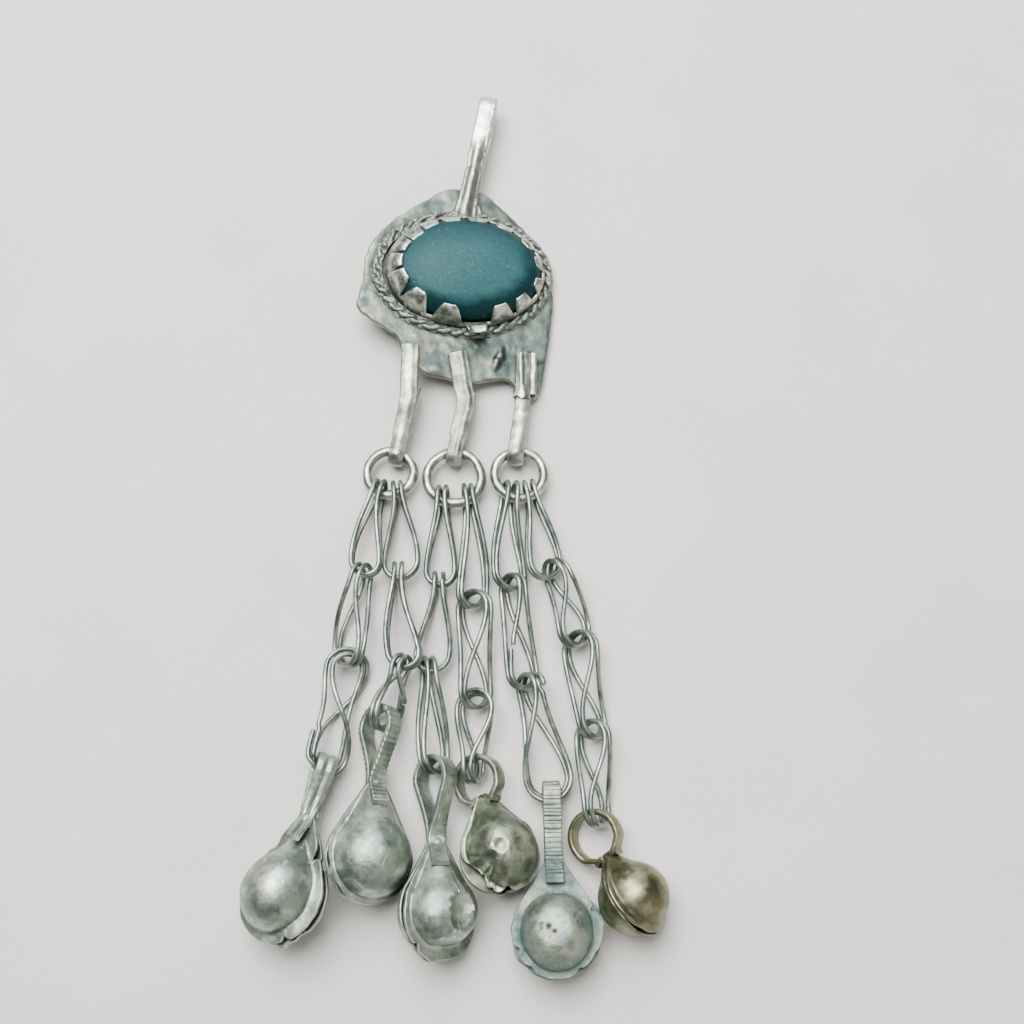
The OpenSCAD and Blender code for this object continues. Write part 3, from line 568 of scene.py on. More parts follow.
def worn_metal(name, bright, dull, rough, blotch, hammered, dirt_and_shade, edge=0.7, bright_edge=None,
               edge_from=0.515, stain=None, stained=0.6, shaded_below=None, darker_along=None, crusts=(),
               pits=()):
    """A worn and tarnished metal. Its high places are rubbed bright, thin tarnish lies in blotches over
    the rest, dirt and painted shade darken the recesses, and fine wear breaks up the gloss. Where asked,
    it darkens along one way across the table, and painted shade darkens it low against the plate.
    The sizes of the blotches, the wear and the specks are in millimetres."""
    tone = finish_colours()
    material, tree, where = new_material(name)
    clouds, specks, wear = (
        add(tree, "TexNoise", {"Vector": where, "Scale": 1000 / size, "Detail": detail,
                               "Roughness": harsh})
        for size, detail, harsh in ((blotch, 5.0, 0.62), (0.55, 3.0, 0.6), (0.9, 4.0, 0.7)))
    thin = add(tree, "MapRange", {"Value": clouds, "From Min": 0.43, "From Max": 0.59})
    colour = add(tree, "Mix", {"data_type": "RGBA", "Factor": thin, 6: tone[dull], 7: tone[bright]})
    # what lies over the tarnish, from below: how much of it there is, and its colour
    speck = add(tree, "MapRange", {"Value": specks, "From Min": 0.60, "From Max": 0.78, "To Max": 0.55})
    coats = [(speck, "grime_and_shade")]
    if stain:
        aside = add(tree, "Mapping", {"Vector": where, "Location": (0.37, 0.11, 0.53)})
        patchy = add(tree, "TexNoise", {"Vector": aside, "Scale": 1000 / (blotch * 0.8), "Detail": 6.0,
                                        "Roughness": 0.68})
        coats.append((add(tree, "MapRange", {"Value": patchy, "From Min": 0.50, "From Max": 0.66,
                                             "To Max": stained}), stain))
    if darker_along:
        # darker between two places on the table, along X or Y: on the plate this is painted shade
        # towards its right side, on the bail a darkening towards its foot
        axis, low, high, most, tarnish = darker_along
        low, high = ((v - MID["XY".index(axis)]) / 1000 for v in (low, high))
        side = add(tree, "SeparateXYZ", {"Vector": where}).outputs[axis]
        coats.append((add(tree, "MapRange", {"Value": side, "From Min": low, "From Max": high,
                                             "To Max": most}), tarnish))
    # dirt and painted shade: ambient occlusion lays the grime colour into the recesses
    shade = add(tree, "AmbientOcclusion", {"samples": 8, "only_local": False, "Distance": 0.0016})
    recess_dirt_and_shade = add(tree, "MapRange", {"Value": shade.outputs["AO"], "From Min": 0.35, "From Max": 0.92,
                                    "To Min": dirt_and_shade, "To Max": 0.0})
    if shaded_below:
        # painted shade lies low against the plate and fades out higher up, measured square to the plate
        s = bpy.context.scene.pendant_setting
        square = (math.sin(s.plate_lean), 0.0, math.cos(s.plate_lean))
        foot = (np.array([*STONE_AT, mm(s.plate_under)]) - MID) @ square
        low, high = ((foot + v) / 1000 for v in shaded_below)
        height = add(tree, "VectorMath", {"operation": "DOT_PRODUCT", 0: where, 1: square})
        low_shade = add(tree, "MapRange", {"Value": height, "From Min": low, "From Max": high, "To Min": 0.9,
                                       "To Max": 0.0})
        recess_dirt_and_shade = add(tree, "Math", {"operation": "MAXIMUM", 0: recess_dirt_and_shade, 1: low_shade})
    corner = add(tree, "MapRange", {"Value": add(tree, "NewGeometry").outputs["Pointiness"],
                                    "From Min": edge_from, "From Max": edge_from + 0.085,
                                    "To Max": edge})
    coats += [(recess_dirt_and_shade, "grime_and_shade"), (corner, bright_edge or bright)]
    for share, coat in coats:
        colour = add(tree, "Mix", {"data_type": "RGBA", "Factor": share, 6: colour, 7: tone[coat]})
    metal = add(tree, "MapRange", {"Value": recess_dirt_and_shade, "To Min": 1.0, "To Max": 0.55})
    gloss = add(tree, "MapRange", {"Value": wear, "From Min": 0.3, "From Max": 0.7,
                                   "To Min": rough - 0.08, "To Max": rough + 0.14})
    # crusts are broken up where the tarnish is thick, and pits are whole
    broken = add(tree, "MapRange", {"Value": thin, "To Min": 0.3})
    for places, fade, coat, metallic, rougher, cover in ((crusts, 2.5, "verdigris", 0.35, 0.66, broken),
                                                         (pits, 3.5, "grime_and_shade", 0.1, 0.8, None)):
        for x, y, z, reach in places:
            spot = tuple((np.array([x, y, z]) - MID) / 1000)
            away = add(tree, "VectorMath", {"operation": "DISTANCE", 0: where, 1: spot})
            share = add(tree, "MapRange", {"Value": away, "From Min": reach / 1000,
                                           "From Max": reach / fade / 1000})
            if cover:
                share = add(tree, "Math", {"operation": "MULTIPLY", "use_clamp": True, 0: share,
                                           1: cover})
            colour = add(tree, "Mix", {"data_type": "RGBA", "Factor": share, 6: colour, 7: tone[coat]})
            metal = add(tree, "Mix", {"Factor": share, "A": metal, "B": metallic})
            gloss = add(tree, "Mix", {"Factor": share, "A": gloss, "B": rougher})
    rub = add(tree, "Bump", {"Height": wear, "Strength": 0.35, "Distance": hammered / 1000})
    lumps = add(tree, "Bump", {"Height": clouds, "Normal": rub, "Strength": 0.6,
                               "Distance": hammered * 3 / 1000})
    shader = add(tree, "BsdfPrincipled", {"Base Color": colour, "Metallic": metal, "Roughness": gloss,
                                          "Normal": lumps})
    add(tree, "OutputMaterial", {"Surface": shader})
    return material


def metal_of(use):
    """One of the metals, made once and then shared by its pieces."""
    name, bright, dull, finish = METALS[use]
    return bpy.data.materials.get(name) or worn_metal(name, bright, dull, **finish)


def stone_material():
    """Polished teal stone, buff topped: a hazy pale middle darkened towards the edge by painted shade,
    most at the top, with a painted dark reflection at the bottom; pale flecks, and fine scratches that
    catch the light."""
    tone = finish_colours()
    material, tree, where = new_material("Teal stone, polished")
    middle = tuple((np.array([STONE_AT[0] + 0.25, STONE_AT[1] + 0.65, 6.0]) - MID) / 1000)
    flat = add(tree, "VectorMath", {"operation": "SUBTRACT", 0: where, 1: middle})
    round_flat = add(tree, "VectorMath", {"operation": "MULTIPLY", 0: flat, 1: (1.0, 1.5, 0.0)})
    # how far each point is from the pale middle, in metres, as if the oval were round
    away = add(tree, "VectorMath", {"operation": "LENGTH", 0: round_flat})
    cloud = add(tree, "TexNoise", {"Vector": where, "Scale": 1000 / 3.0, "Detail": 5.0, "Roughness": 0.6,
                                   "Distortion": 0.4})
    wavy = add(tree, "Math", {"operation": "MULTIPLY_ADD", 0: cloud, 1: 0.003, 2: -0.0015})
    reach = add(tree, "Math", {"operation": "ADD", 0: away, 1: wavy})
    # painted shade all round the stone's edge; the middle sits a little high, so the dark band at the
    # bottom is a painted reflection
    out_of_shade = add(tree, "MapRange", {"Value": reach, "From Min": 0.0092, "From Max": 0.0072})
    # the light comes from the upper left; painted shade darkens the stone further towards its top edge,
    # under the bezel
    low = add(tree, "VectorMath", {"operation": "SUBTRACT", 0: round_flat, 1: (0.0009, -0.0041, 0.0)})
    beyond = add(tree, "VectorMath", {"operation": "LENGTH", 0: low})
    edge = add(tree, "MapRange", {"Value": beyond, "From Min": 0.0115, "From Max": 0.0060,
                                  "To Min": 0.35})
    out_of_shade = add(tree, "Math", {"operation": "MULTIPLY", 0: out_of_shade, 1: edge})
    body = add(tree, "Mix", {"data_type": "RGBA", "Factor": out_of_shade, 6: tone["stone_deep"],
                             7: tone["stone_pale"]})
    grain = add(tree, "TexNoise", {"Vector": where, "Scale": 1000 / 0.35, "Detail": 3.0})
    grainy = add(tree, "MapRange", {"Value": grain, "From Min": 0.3, "From Max": 0.7, "To Min": 0.8,
                                    "To Max": 1.14})
    body = add(tree, "VectorMath", {"operation": "SCALE", 0: body, "Scale": grainy})
    chips = add(tree, "TexVoronoi", {"Vector": where, "Scale": 1000 / 1.3, "Randomness": 1.0})
    fleck = add(tree, "MapRange", {"Value": chips, "From Min": 0.12, "From Max": 0.03, "To Max": 0.28})
    flecked = add(tree, "Mix", {"data_type": "RGBA", "Factor": fleck, 6: body, 7: tone["stone_fleck"]})
    streaks = add(tree, "Mapping", {"Vector": where, "Scale": (0.06, 1.0, 1.0), "Rotation": (0, 0, 0.5)})
    scratch = add(tree, "TexNoise", {"Vector": streaks, "Scale": 1000 / 0.5, "Detail": 2.0})
    fine = add(tree, "Bump", {"Height": scratch, "Strength": 0.12, "Distance": 0.00004})
    gloss = add(tree, "MapRange", {"Value": cloud, "From Min": 0.35, "From Max": 0.7, "To Min": 0.42,
                                   "To Max": 0.56})
    shader = add(tree, "BsdfPrincipled", {"IOR": 1.54, "Specular IOR Level": 0.08, "Base Color": flecked,
                                          "Roughness": gloss, "Normal": fine})
    add(tree, "OutputMaterial", {"Surface": shader})
    return material


def table_material():
    """Pale painted board: matt, with a very faint mottle some 17 mm across."""
    material, tree, where = new_material("Pale painted board")
    mottle = add(tree, "TexNoise", {"Vector": where, "Scale": 60.0, "Detail": 4.0})
    tone = add(tree, "MapRange", {"Value": mottle, "From Min": 0.3, "From Max": 0.7, "To Min": 0.96,
                                  "To Max": 1.04})
    colour = add(tree, "VectorMath", {"operation": "SCALE", 0: finish_colours()["table"][:3],
                                      "Scale": tone})
    shader = add(tree, "BsdfPrincipled", {"Base Color": colour, "Roughness": 0.65})
    add(tree, "OutputMaterial", {"Surface": shader})
    return material


# The setting. Everything on the plate leans with it.

def on_plate(p):
    """Points measured from the stone's middle, set on the leaning plate."""
    s = bpy.context.scene.pendant_setting
    return turned(p, math.degrees(s.plate_lean), "y") + np.array([*STONE_AT, mm(s.plate_under)])


def in_outline(p, edge):
    """Which of some flat points lie inside an outline."""
    x, y = p[:, 0], p[:, 1]
    inside = np.zeros(len(p), bool)
    for (x0, y0), (x1, y1) in zip(edge, np.roll(edge, -1, 0)):
        inside ^= ((y0 > y) != (y1 > y)) & (x < (x1 - x0) * (y - y0) / (y1 - y0 + 1e-12) + x0)
    return inside


def nearest(p, edge):
    """Distance from each flat point to the nearest point of a line."""
    return np.sqrt(((p[:, None, :] - edge[None, :, :]) ** 2).sum(-1)).min(1)


def plate_skin():
    """The back plate: ragged sheet, a little bulged and hollowed, with a worn rim."""
    thick = mm(bpy.context.scene.pendant_setting.plate_thick)
    edge = even(np.vstack([bend(PLATE_EDGE, 10, closed=True), PLATE_EDGE[:1]]), 0.33)[:-1]
    n = len(edge)
    flat = on_floor(edge)
    t = tangents(flat, True)
    out = np.column_stack([t[:, 1], -t[:, 0]])
    edge = edge - out * (0.10 + 0.07 * uneven(flat, 0.8, 3) + 0.05 * uneven(flat, 2.5, 4))[:, None]
    rim = edge - out * 0.30
    # the sheet's faces are nets over a staggered grid of points inside the rim
    apart, row_apart, stagger = 0.33, 0.3, 0.16
    grid = np.array([(x + stagger * (int(round(y / row_apart)) % 2), y)
                     for x in np.arange(-14, 13, apart) for y in np.arange(-17.4, 13, row_apart)])
    grid = grid[in_outline(grid, rim) & (nearest(grid, rim) > 0.25)]
    loop = [(i, (i + 1) % n) for i in range(n)]
    net, _, tris, *_ = delaunay_2d_cdt([Vector(p) for p in np.vstack([rim, grid])], loop, [], 1, 1e-6)
    net = np.array([tuple(v) for v in net])
    m = len(net)

    def top(p, inset):
        """Height of the upper face, less an inset near its rim."""
        q = on_floor(p)
        bulge = 0.07 * uneven(q, 3.0, 5) + 0.035 * uneven(q, 1.1, 6)
        # a seam of solder runs from the border down beside the right hanger
        seam = 0.16 * hump(nearest(p, RIDGE), 0, 0.22)
        lumps = sum(high * np.exp(-((p[:, 0] - x) / wide) ** 2 - ((p[:, 1] - y) / long) ** 2)
                    for x, y, wide, long, high in LUMPS) * (1 + 0.35 * uneven(q, 0.45, 8))
        return thick - inset + bulge + seam + lumps

    def under(p, inset):
        """Height of the face underneath."""
        return inset + 0.04 * (1 + uneven(on_floor(p), 3.0, 7))

    # from the top face round the rim to the face underneath
    layers = [np.column_stack([net, top(net, 0.0)])]
    for inset, high, side in ((0.12, 0.05, top), (0.02, 0.2, top), (0.0, 0.42, top),
                              (0.03, 0.2, under), (0.14, 0.06, under)):
        ring = edge - out * inset
        layers.append(np.column_stack([ring, side(ring, high)]))
    layers.append(np.column_stack([net, under(net, 0.0)]))
    faces = [tuple(f) for f in tris]
    starts = [0] + [m + i * n for i in range(6)]
    for a, b in zip(starts[:-1], starts[1:]):
        faces += [(a + i, a + (i + 1) % n, b + (i + 1) % n, b + i) for i in range(n)]
    faces += [tuple(starts[-1] + k for k in reversed(f)) for f in tris]
    return on_plate(np.vstack(layers)), faces


def bezel_skin():
    """The bezel: an oval strip on edge, cut into teeth that fold over the stone."""
    s = bpy.context.scene.pendant_setting
    # the wall is whole up to this height, and only the teeth stand above it
    thick, high = mm(s.bezel_thick), mm(s.plate_thick + s.bezel_high) - 1.35
    n, steps = 640, 12
    a, line, out = oval(n, mm(s.bezel_long) / 2 + thick / 2, mm(s.bezel_wide) / 2 + thick / 2)
    walk = np.concatenate([[0], np.cumsum(np.linalg.norm(np.diff(line, axis=0), axis=1))])
    whole_way = walk[-1] + np.linalg.norm(line[0] - line[-1])
    reach, fold, total = np.zeros(n), np.zeros(n), np.full(n, 1e-6)
    for place, wide, long, turn, blunt in TEETH:
        d = np.abs(walk - np.interp(math.radians(place % 360), a, walk))
        d = np.minimum(d, whole_way - d)
        # each tooth is a petal: a blunt rounded tip on sloping sides
        tooth = np.clip((0.5 * wide - d) / (0.5 * wide * (1 - blunt)), 0, 1)
        reach = np.maximum(reach, (long + 0.3) * np.sin(tooth * math.pi / 2) ** 0.9)
        near = hump(d, 0, 0.42 * wide)
        fold += near * turn
        total += near
    fold = np.radians(fold / total)
    # the strip's middle rises up the wall and then turns over, further towards the tips
    levels = [(z, 0 * fold) for z in np.linspace(0.55, high - 0.25, 4)] + [(high - 0.1, fold * 0.12)]
    centre = [np.column_stack([line, np.full(n, z)]) for z, _ in levels]
    lean = [angle for _, angle in levels]
    for k in range(steps):
        angle = fold * (0.35 + 1.05 * ((k + 0.5) / steps) ** 1.3)
        move = (reach + 0.12) / steps
        centre.append(centre[-1] + np.column_stack([-np.sin(angle)[:, None] * out * move[:, None],
                                                    np.cos(angle) * move]))
        lean.append(angle)
    centre, lean = np.array(centre), np.array(lean)
    up, out = np.array([0, 0, 1.0]), on_floor(out)
    normal = np.cos(lean)[..., None] * out + np.sin(lean)[..., None] * up
    half = thick / 2 * (np.linspace(1.0, 0.62, len(centre)) ** 1.2)[:, None, None]
    tip = -np.sin(lean[-1])[:, None] * out + np.cos(lean[-1])[:, None] * up
    caps = [centre[-1] + half[-1] * (normal[-1] * math.cos(q) + tip * 0.8 * math.sin(q))
            for q in np.radians((40, 90, 140))]
    rounds = np.array([*(centre + normal * half), *caps, *(centre - normal * half)[::-1]])
    rounds = roughened(rounds.transpose(1, 0, 2), out[:, None, :] * 0.6 + up * 0.6,
                       (0.05, 1.6, 11), (0.03, 0.6, 12))
    points, faces = loft(rounds + np.array([mm(s.bezel_shift), 0, 0]), closed=True)
    return on_plate(points), faces


def border_skin():
    """The border: two wires twisted together and laid round the bezel, bedded in solder."""
    s = bpy.context.scene.pendant_setting
    r, base = mm(s.strand), mm(s.plate_thick)
    rx = mm(s.bezel_long / 2 + s.bezel_thick + s.bezel_shift) + r * 0.95
    ry = mm(s.bezel_wide / 2 + s.bezel_thick) + r * 0.95
    a, line, out = oval(s.twists * 24, rx, ry)
    # the border is hammered flatter at the top and the left
    press = 0.62 + 0.38 * hump(a, math.radians(100), 1.0) + 0.26 * hump(a, math.radians(180), 0.6)
    parts = []
    for k in (0, 1):
        turn = s.twists * a + math.pi * k + 0.25 * np.sin(5 * a + 1) + 0.15 * np.sin(11 * a)
        side, lift = np.cos(turn), np.sin(turn) * (1 - press * 0.5)
        path = np.column_stack([line + out * (side * r * 0.68)[:, None],
                                base + r * (1.25 - 0.6 * press) + lift * r * 0.8])
        girth = r * (0.78 + 0.07 * np.sin(7 * a + k) + 0.05 * np.sin(17 * a + 2 * k))
        parts.append(loft(wire_rings(path, girth, 14, closed=True), closed=True))
    # the bed of solder, from its outer foot over the top to its inner foot
    b, line, out = oval(420, rx, ry)
    fill = 0.76 + 0.16 * hump(b, math.radians(100), 0.85) + 0.14 * uneven(on_floor(line), 1.8, 21)
    rows = [np.column_stack([line + out * side * r * 1.35, base + 0.02 + high * fill * r * 1.5])
            for side, high in ((1.3, 0.0), (1.0, 0.35), (0.62, 0.70), (0.2, 0.9), (-0.3, 1.0),
                               (-0.7, 1.1), (-1.0, 1.2), (-1.1, 0.0))]
    parts.append(loft(np.array(rows).transpose(1, 0, 2), closed=True))
    points, faces = joined(parts)
    points = lifted(points, 0.12 * uneven(points, 0.45, 22) + 0.06 * uneven(points, 1.5, 23))
    return on_plate(points), faces


def bail_place(p):
    """Points across, along and above the bail's strip, set on the plate's upper end."""
    s = bpy.context.scene.pendant_setting
    return turned(p, -math.degrees(s.bail_lean), "z") + np.array([*BAIL_ROOT, 0])


def bail_skin():
    """The bail: a ridged strip bent into a teardrop eye, soldered down at its foot."""
    s = bpy.context.scene.pendant_setting
    wide, thick, step = mm(s.bail_wide), mm(s.bail_thick), 0.16
    eye = [(BAIL_EYE[0] + BAIL_EYE_R * math.cos(q), BAIL_EYE[1] + BAIL_EYE_R * math.sin(q))
           for q in np.radians(np.linspace(108, -108, 13))]
    line = [(0.3, 2.95), (1.5, 3.2), (5.6, 3.6), (8.4, 3.8), (11.4, 4.3), (13.4, 4.45), *eye,
            (13.4, 1.2), (11.2, 1.8), (7.8, 2.75), (5.2, 3.05)]
    side = even(bend(line, 8), step)
    along = np.arange(len(side)) * step
    sections = []
    for way in along:
        # the strip has a nick half way down its face, spreads out on the plate and narrows
        # behind the eye
        notch, ridged = hump(way, 6.7, 0.42), 1 - smooth((way - 8.4) / 3.6)
        girth = 1.09 - 0.17 * notch + 0.28 * (1 - smooth(way / 4.2)) - 0.14 * smooth((way - 17) / 5)

        def relief(v):
            ridge = 0.24 * hump(v, -0.08, 0.40) - 0.04 * hump(v, -0.7, 0.18)
            ridge -= 0.17 * smooth((v - 0.2) / 0.5)
            return (0.14 - 0.08 * notch) * (1 - v * v) + ridged * ridge

        sections.append(band(wide * girth, thick, relief, corner=0.3))
    rounds = band_rings(np.column_stack([0 * along, side]), (1.0, 0.0, 0.0), np.array(sections))
    rounds = roughened(rounds, np.array([0.4, 0.4, 1.0]), (0.05, 1.3, 31))
    points, faces = joined([loft(rounds), puddle(-0.1, 1.1, 2.0, 2.92, 0.5, 33)])
    return bail_place(points), faces


def puddle(x, y, r, z, high, seed):
    """A frozen puddle of solder: a low dome with an uneven edge."""
    n, rings = 40, 10
    a = 2 * math.pi * np.arange(n) / n
    rng = np.random.default_rng(seed)
    edge = 1 + sum(deep * np.sin(waves * a + rng.uniform(0, 6))
                   for waves, deep in ((2, 0.12), (3, 0.08), (5, 0.05)))
    edge = np.column_stack([r * edge * np.cos(a), r * edge * np.sin(a)])
    levels = [(0.9, z - 0.2)] + [(q, z - 0.06 + (high + 0.06) * (1 - q * q) ** 1.6)
                                 for q in 1 - np.arange(rings) / rings]
    points, faces = loft(np.array([np.column_stack([edge * q + (x, y), np.full(n, level)])
                                   for q, level in levels]))
    return lifted(points, 0.06 * uneven(points, 0.6, seed + 1)), faces


def plate_top(x):
    """Height above the table of the plate's upper face."""
    s = bpy.context.scene.pendant_setting
    return mm(s.plate_under + s.plate_thick) + (STONE_AT[0] - x) * math.tan(s.plate_lean)


def hanger_path(hanger):
    """The middle line of a hanger's strip, and the lean of its lower and of its upper part."""
    s, c = bpy.context.scene.pendant_setting, bpy.context.scene.pendant_chain
    ring, high, thick = RINGS[hanger.ring], mm(c.ring_height), mm(s.hanger_thick)
    hold_y = ring.y + math.sqrt(ring.r ** 2 - (hanger.hold_x - ring.x) ** 2) - 0.22
    # the fold goes round the ring's wire with 0.12 mm of room
    fold = mm(c.ring_wire) + 0.12 + thick / 2
    front = plate_top(hanger.kink_x)
    back = front - mm(s.plate_thick)
    drop, rise = hanger.kink_y - hold_y, hanger.top_y - hanger.kink_y
    swing = math.atan2(hanger.kink_x - hanger.hold_x, drop)
    up = math.atan2(hanger.top_x - hanger.kink_x, rise)
    reach = drop / math.cos(swing)
    line = []
    for share in (1.0, 0.66, 0.33):
        x = hanger.kink_x + rise * share * math.sin(up)
        line.append((x, hanger.kink_y + rise * share * math.cos(up), plate_top(x) + thick / 2 + 0.1))
    # from the kink down the front, round the ring and up behind: way from the kink, and height
    floor = thick / 2 + 0.1
    lower = [(0.0, front + thick / 2 + 0.05), (-reach * 0.5, (front + high + fold) / 2 + 0.15)]
    lower += [(-reach + fold * math.cos(q), high + fold * math.sin(q))
              for q in np.radians(np.linspace(80, 280, 11))]
    lower += [(-reach * 0.5, max((back + high - fold) / 2 - 0.1, floor)),
              (-0.6, max(back - thick * 0.8, floor)),
              (hanger.back_y - hanger.kink_y, max(back - thick / 2 + 0.05, floor))]
    line += [(hanger.kink_x + u * math.sin(swing), hanger.kink_y + u * math.cos(swing), z)
             for u, z in lower]
    return np.array(line), swing, up


def hanger_skins():
    """The three hangers: strips folded round the rings, soldered on front and behind."""
    s = bpy.context.scene.pendant_setting
    wide, thick = mm(s.hanger_wide), mm(s.hanger_thick)
    # the relief of each strip's face, and how much wider its upper part is
    looks = (
        (lambda v, t: 0.30 * (1 - v * v) - 0.03 * hump(v, 0.55, 0.2) * (t < 0.45), 0.12),
        (lambda v, t: 0.24 * (1 - v * v) + (0.16 * hump(v, 0.30, 0.26)
                                            - 0.14 * smooth((v - 0.45) / 0.3)) * (t < 0.6), 0.18),
        (lambda v, t: 0.30 * (1 - v * v), 0.0),
    )
    skins = []
    for k, (hanger, (relief, wider)) in enumerate(zip(HANGERS, looks)):
        line, swing, up = hanger_path(hanger)
        path = even(bend(line, 8), 0.15)
        share = np.linspace(0, 1, len(path))
        above, below = (np.array([math.cos(lean), -math.sin(lean), 0]) for lean in (up, swing))
        ease = smooth((share - 0.22) / 0.16)[:, None]
        sections = [band(wide * (1 + 0.03 * math.sin(9 * t + k)) * (1 + wider * (t < 0.45)), thick,
                         lambda v: relief(v, t), corner=0.27) for t in share]
        rounds = band_rings(path, (1 - ease) * above + ease * below, np.array(sections), -1.0)
        skins.append(loft(roughened(rounds, np.array([0.6, 0.3, 1.0]), (0.035, 1.1, 41 + k))))
    skins[2] = joined([skins[2], *saddle_skins(HANGERS[2])])
    return skins


def saddle_skins(hanger):
    """On the right hanger: a ridged strip with a flared ragged end, and a thin strip beside it."""
    line, _, up = hanger_path(hanger)
    top, run = line[0], line[3] - line[0]
    across = (math.cos(up), -math.sin(up), 0)
    path = np.array([top + run * q + np.array([-0.35 + 0.25 * q, 0.0, 0.42])
                     for q in np.linspace(0.02, 0.88, 26)])
    q = np.linspace(0, 1, len(path))
    flare = 0.95 + 0.15 * np.sin(5 * q) + 1.35 * smooth((q - 0.72) / 0.28)
    sections = [band(w, 0.5, lambda v: 0.34 * (1 - v * v), corner=0.2) for w in flare]
    ridged = band_rings(path, across, np.array(sections), -1.0)
    # the flared end is torn: its last rounds are pulled along the strip unevenly
    torn = uneven(ridged[-1], 0.5, 51)
    for k, pull in ((-1, 0.30), (-2, 0.15)):
        ridged[k] += unit(run) * (torn * pull)[:, None]
    path = np.array([top + run * q + np.array([1.25 + 0.1 * q, 0.0, 0.12])
                     for q in np.linspace(0.0, 0.80, 20)])
    thin = band_rings(path, across, band(0.8, 0.55, lambda v: 0.1 * (1 - v * v)), -1.0)
    return [loft(roughened(rounds, np.array([0.8, 0.3, 1.0]), (0.05, 0.9, seed)))
            for seed, rounds in ((52, ridged), (53, thin))]


def stone_skin():
    """The stone: a low buffed dome on a short upright girdle."""
    s = bpy.context.scene.pendant_setting
    base, tall, wall = mm(s.plate_thick) + 0.12, mm(s.stone_high), mm(s.bezel_high)
    _, line, _ = oval(128, mm(s.bezel_long) / 2 - 0.15, mm(s.bezel_wide) / 2 - 0.15)
    # share of the girdle's width, and height there
    side = [(0.9, 0), (0.985, 0.05), (1.0, 0.2), (1.0, wall - 1.3), (0.995, wall - 0.95),
            (0.925, wall - 0.2), (0.80, wall + 0.45), (0.62, tall - 0.65), (0.38, tall - 0.24),
            (0.16, tall - 0.05), (0.02, tall)]
    rounds = np.array([np.column_stack([line * share, np.full(len(line), base + high)])
                       for share, high in bend(side, 6)])
    points, faces = loft(rounds + np.array([mm(s.bezel_shift), 0, 0]))
    return on_plate(points), faces


# Rings and links

def ring_skin(name, seed):
    """A ring of thick wire, hammered a little out of round."""
    c = bpy.context.scene.pendant_chain
    ring = RINGS[name]
    n = 120
    a = 2 * math.pi * np.arange(n) / n
    r = (ring.r + 0.04 * np.sin(2 * a + seed) + 0.03 * np.sin(3 * a + 2 * seed)
         + 0.015 * np.sin(7 * a + seed))
    path = np.column_stack([ring.x + r * np.cos(a), ring.y + r * np.sin(a),
                            mm(c.ring_height) + 0.04 * np.sin(a + seed)])
    girth = mm(c.ring_wire) * (0.98 + 0.025 * np.sin(4 * a + seed) + 0.015 * np.sin(9 * a))
    return loft(wire_rings(path, girth, 24, closed=True), closed=True)


def link_path(link, arcs=12, runs=10):
    """The centre line of one link: a closed ring of wire folded in half."""
    top, end, roll_top, roll_end, arch, loop, arch_gap, loop_gap, bow, arch_nest, loop_nest = link
    top, end = np.array(top), np.array(end)
    high = np.linalg.norm(end - top)
    down = (end - top) / high
    side = unit(np.cross([0, 0, 1.0], down))
    lift = np.cross(down, side)
    turn = math.pi * np.arange(arcs + 1) / arcs
    flat = np.ones(arcs + 1)

    def run(way, over, u):
        """One of the four runs of wire between the arches and the loops."""
        wide, deep = arch * (1 + over * arch_nest), loop * (1 + way * loop_nest)
        return np.column_stack([way * (wide + (loop_gap - wide) * smooth(u)),
                                over * (arch_gap + (deep - arch_gap) * smooth(u)),
                                arch + (high - arch - loop) * u])

    u = np.arange(1, runs) / runs
    line = []
    for way in (1, -1):
        wide, deep = arch * (1 + way * arch_nest), loop * (1 + way * loop_nest)
        line += [
            np.column_stack([-way * wide * np.cos(turn), way * arch_gap * flat,
                             arch - wide * np.sin(turn)]),
            run(way, way, u),
            np.column_stack([way * loop_gap * flat, way * deep * np.cos(turn),
                             high - loop + deep * np.sin(turn)]),
            run(way, -way, 1 - u),
        ]
    q = np.vstack(line)
    u = q[:, 2] / high
    roll = np.radians(roll_top + (roll_end - roll_top) * smooth(u))[:, None]
    over = np.cos(roll) * side + np.sin(roll) * lift
    along = -np.sin(roll) * side + np.cos(roll) * lift
    return (top + down * q[:, 2:3] + over * q[:, :1] + along * q[:, 1:2]
            + side * (bow * np.sin(math.pi * u))[:, None])


def link_skin(name, seed):
    """A link's wire: whole, or with its two cut ends showing."""
    c = bpy.context.scene.pendant_chain
    r, step = mm(c.wire), 0.25
    path = link_path(LINKS[name])
    if name not in CUTS:
        girth = r * (1 + 0.03 * uneven(path, 2.5, seed))
        return loft(wire_rings(path, girth, c.sides, closed=True), closed=True)
    place, overlap = CUTS[name]
    at = int(np.argmin(((path - np.array(place)) ** 2).sum(1)))
    line = even(np.vstack([np.roll(path, -at, 0), path[at:at + 1]]), step)
    spare = int(round(overlap / 2 / step))
    line = np.vstack([line[-1 - spare:-1], line, line[1:1 + spare]]) if spare else line[1:-1]
    # the two ends lie side by side, or spring a little apart
    side = unit(np.cross(tangents(line, False), [0, 0, 1.0]))
    aside, reach = r * 1.04 if spare else 0.10, 2 * spare + 4
    for k in range(reach):
        ease = smooth(min(1.0, (reach - k) / 4))
        line[k] += side[k] * aside * ease
        line[-1 - k] -= side[-1 - k] * aside * ease
    girth = np.full(len(line), r)
    girth[0] = girth[-1] = r * 0.82
    return loft(wire_rings(line, girth, c.sides))


# Bells

def bell_place(p, bell):
    """Points in a bell's own directions, with Y towards its loop, set at rest on the table."""
    b = bpy.context.scene.pendant_bells
    turn = math.radians(bell.turn)
    lips = mm(b.lip_thick + b.lip_gap / 2)
    rest = max(bell.dome, bell.lip * abs(math.sin(turn)) + lips * math.cos(turn))
    return turned(turned(p, -bell.droop, "x"), -bell.lean, "z") + np.array([bell.x, bell.y, rest])


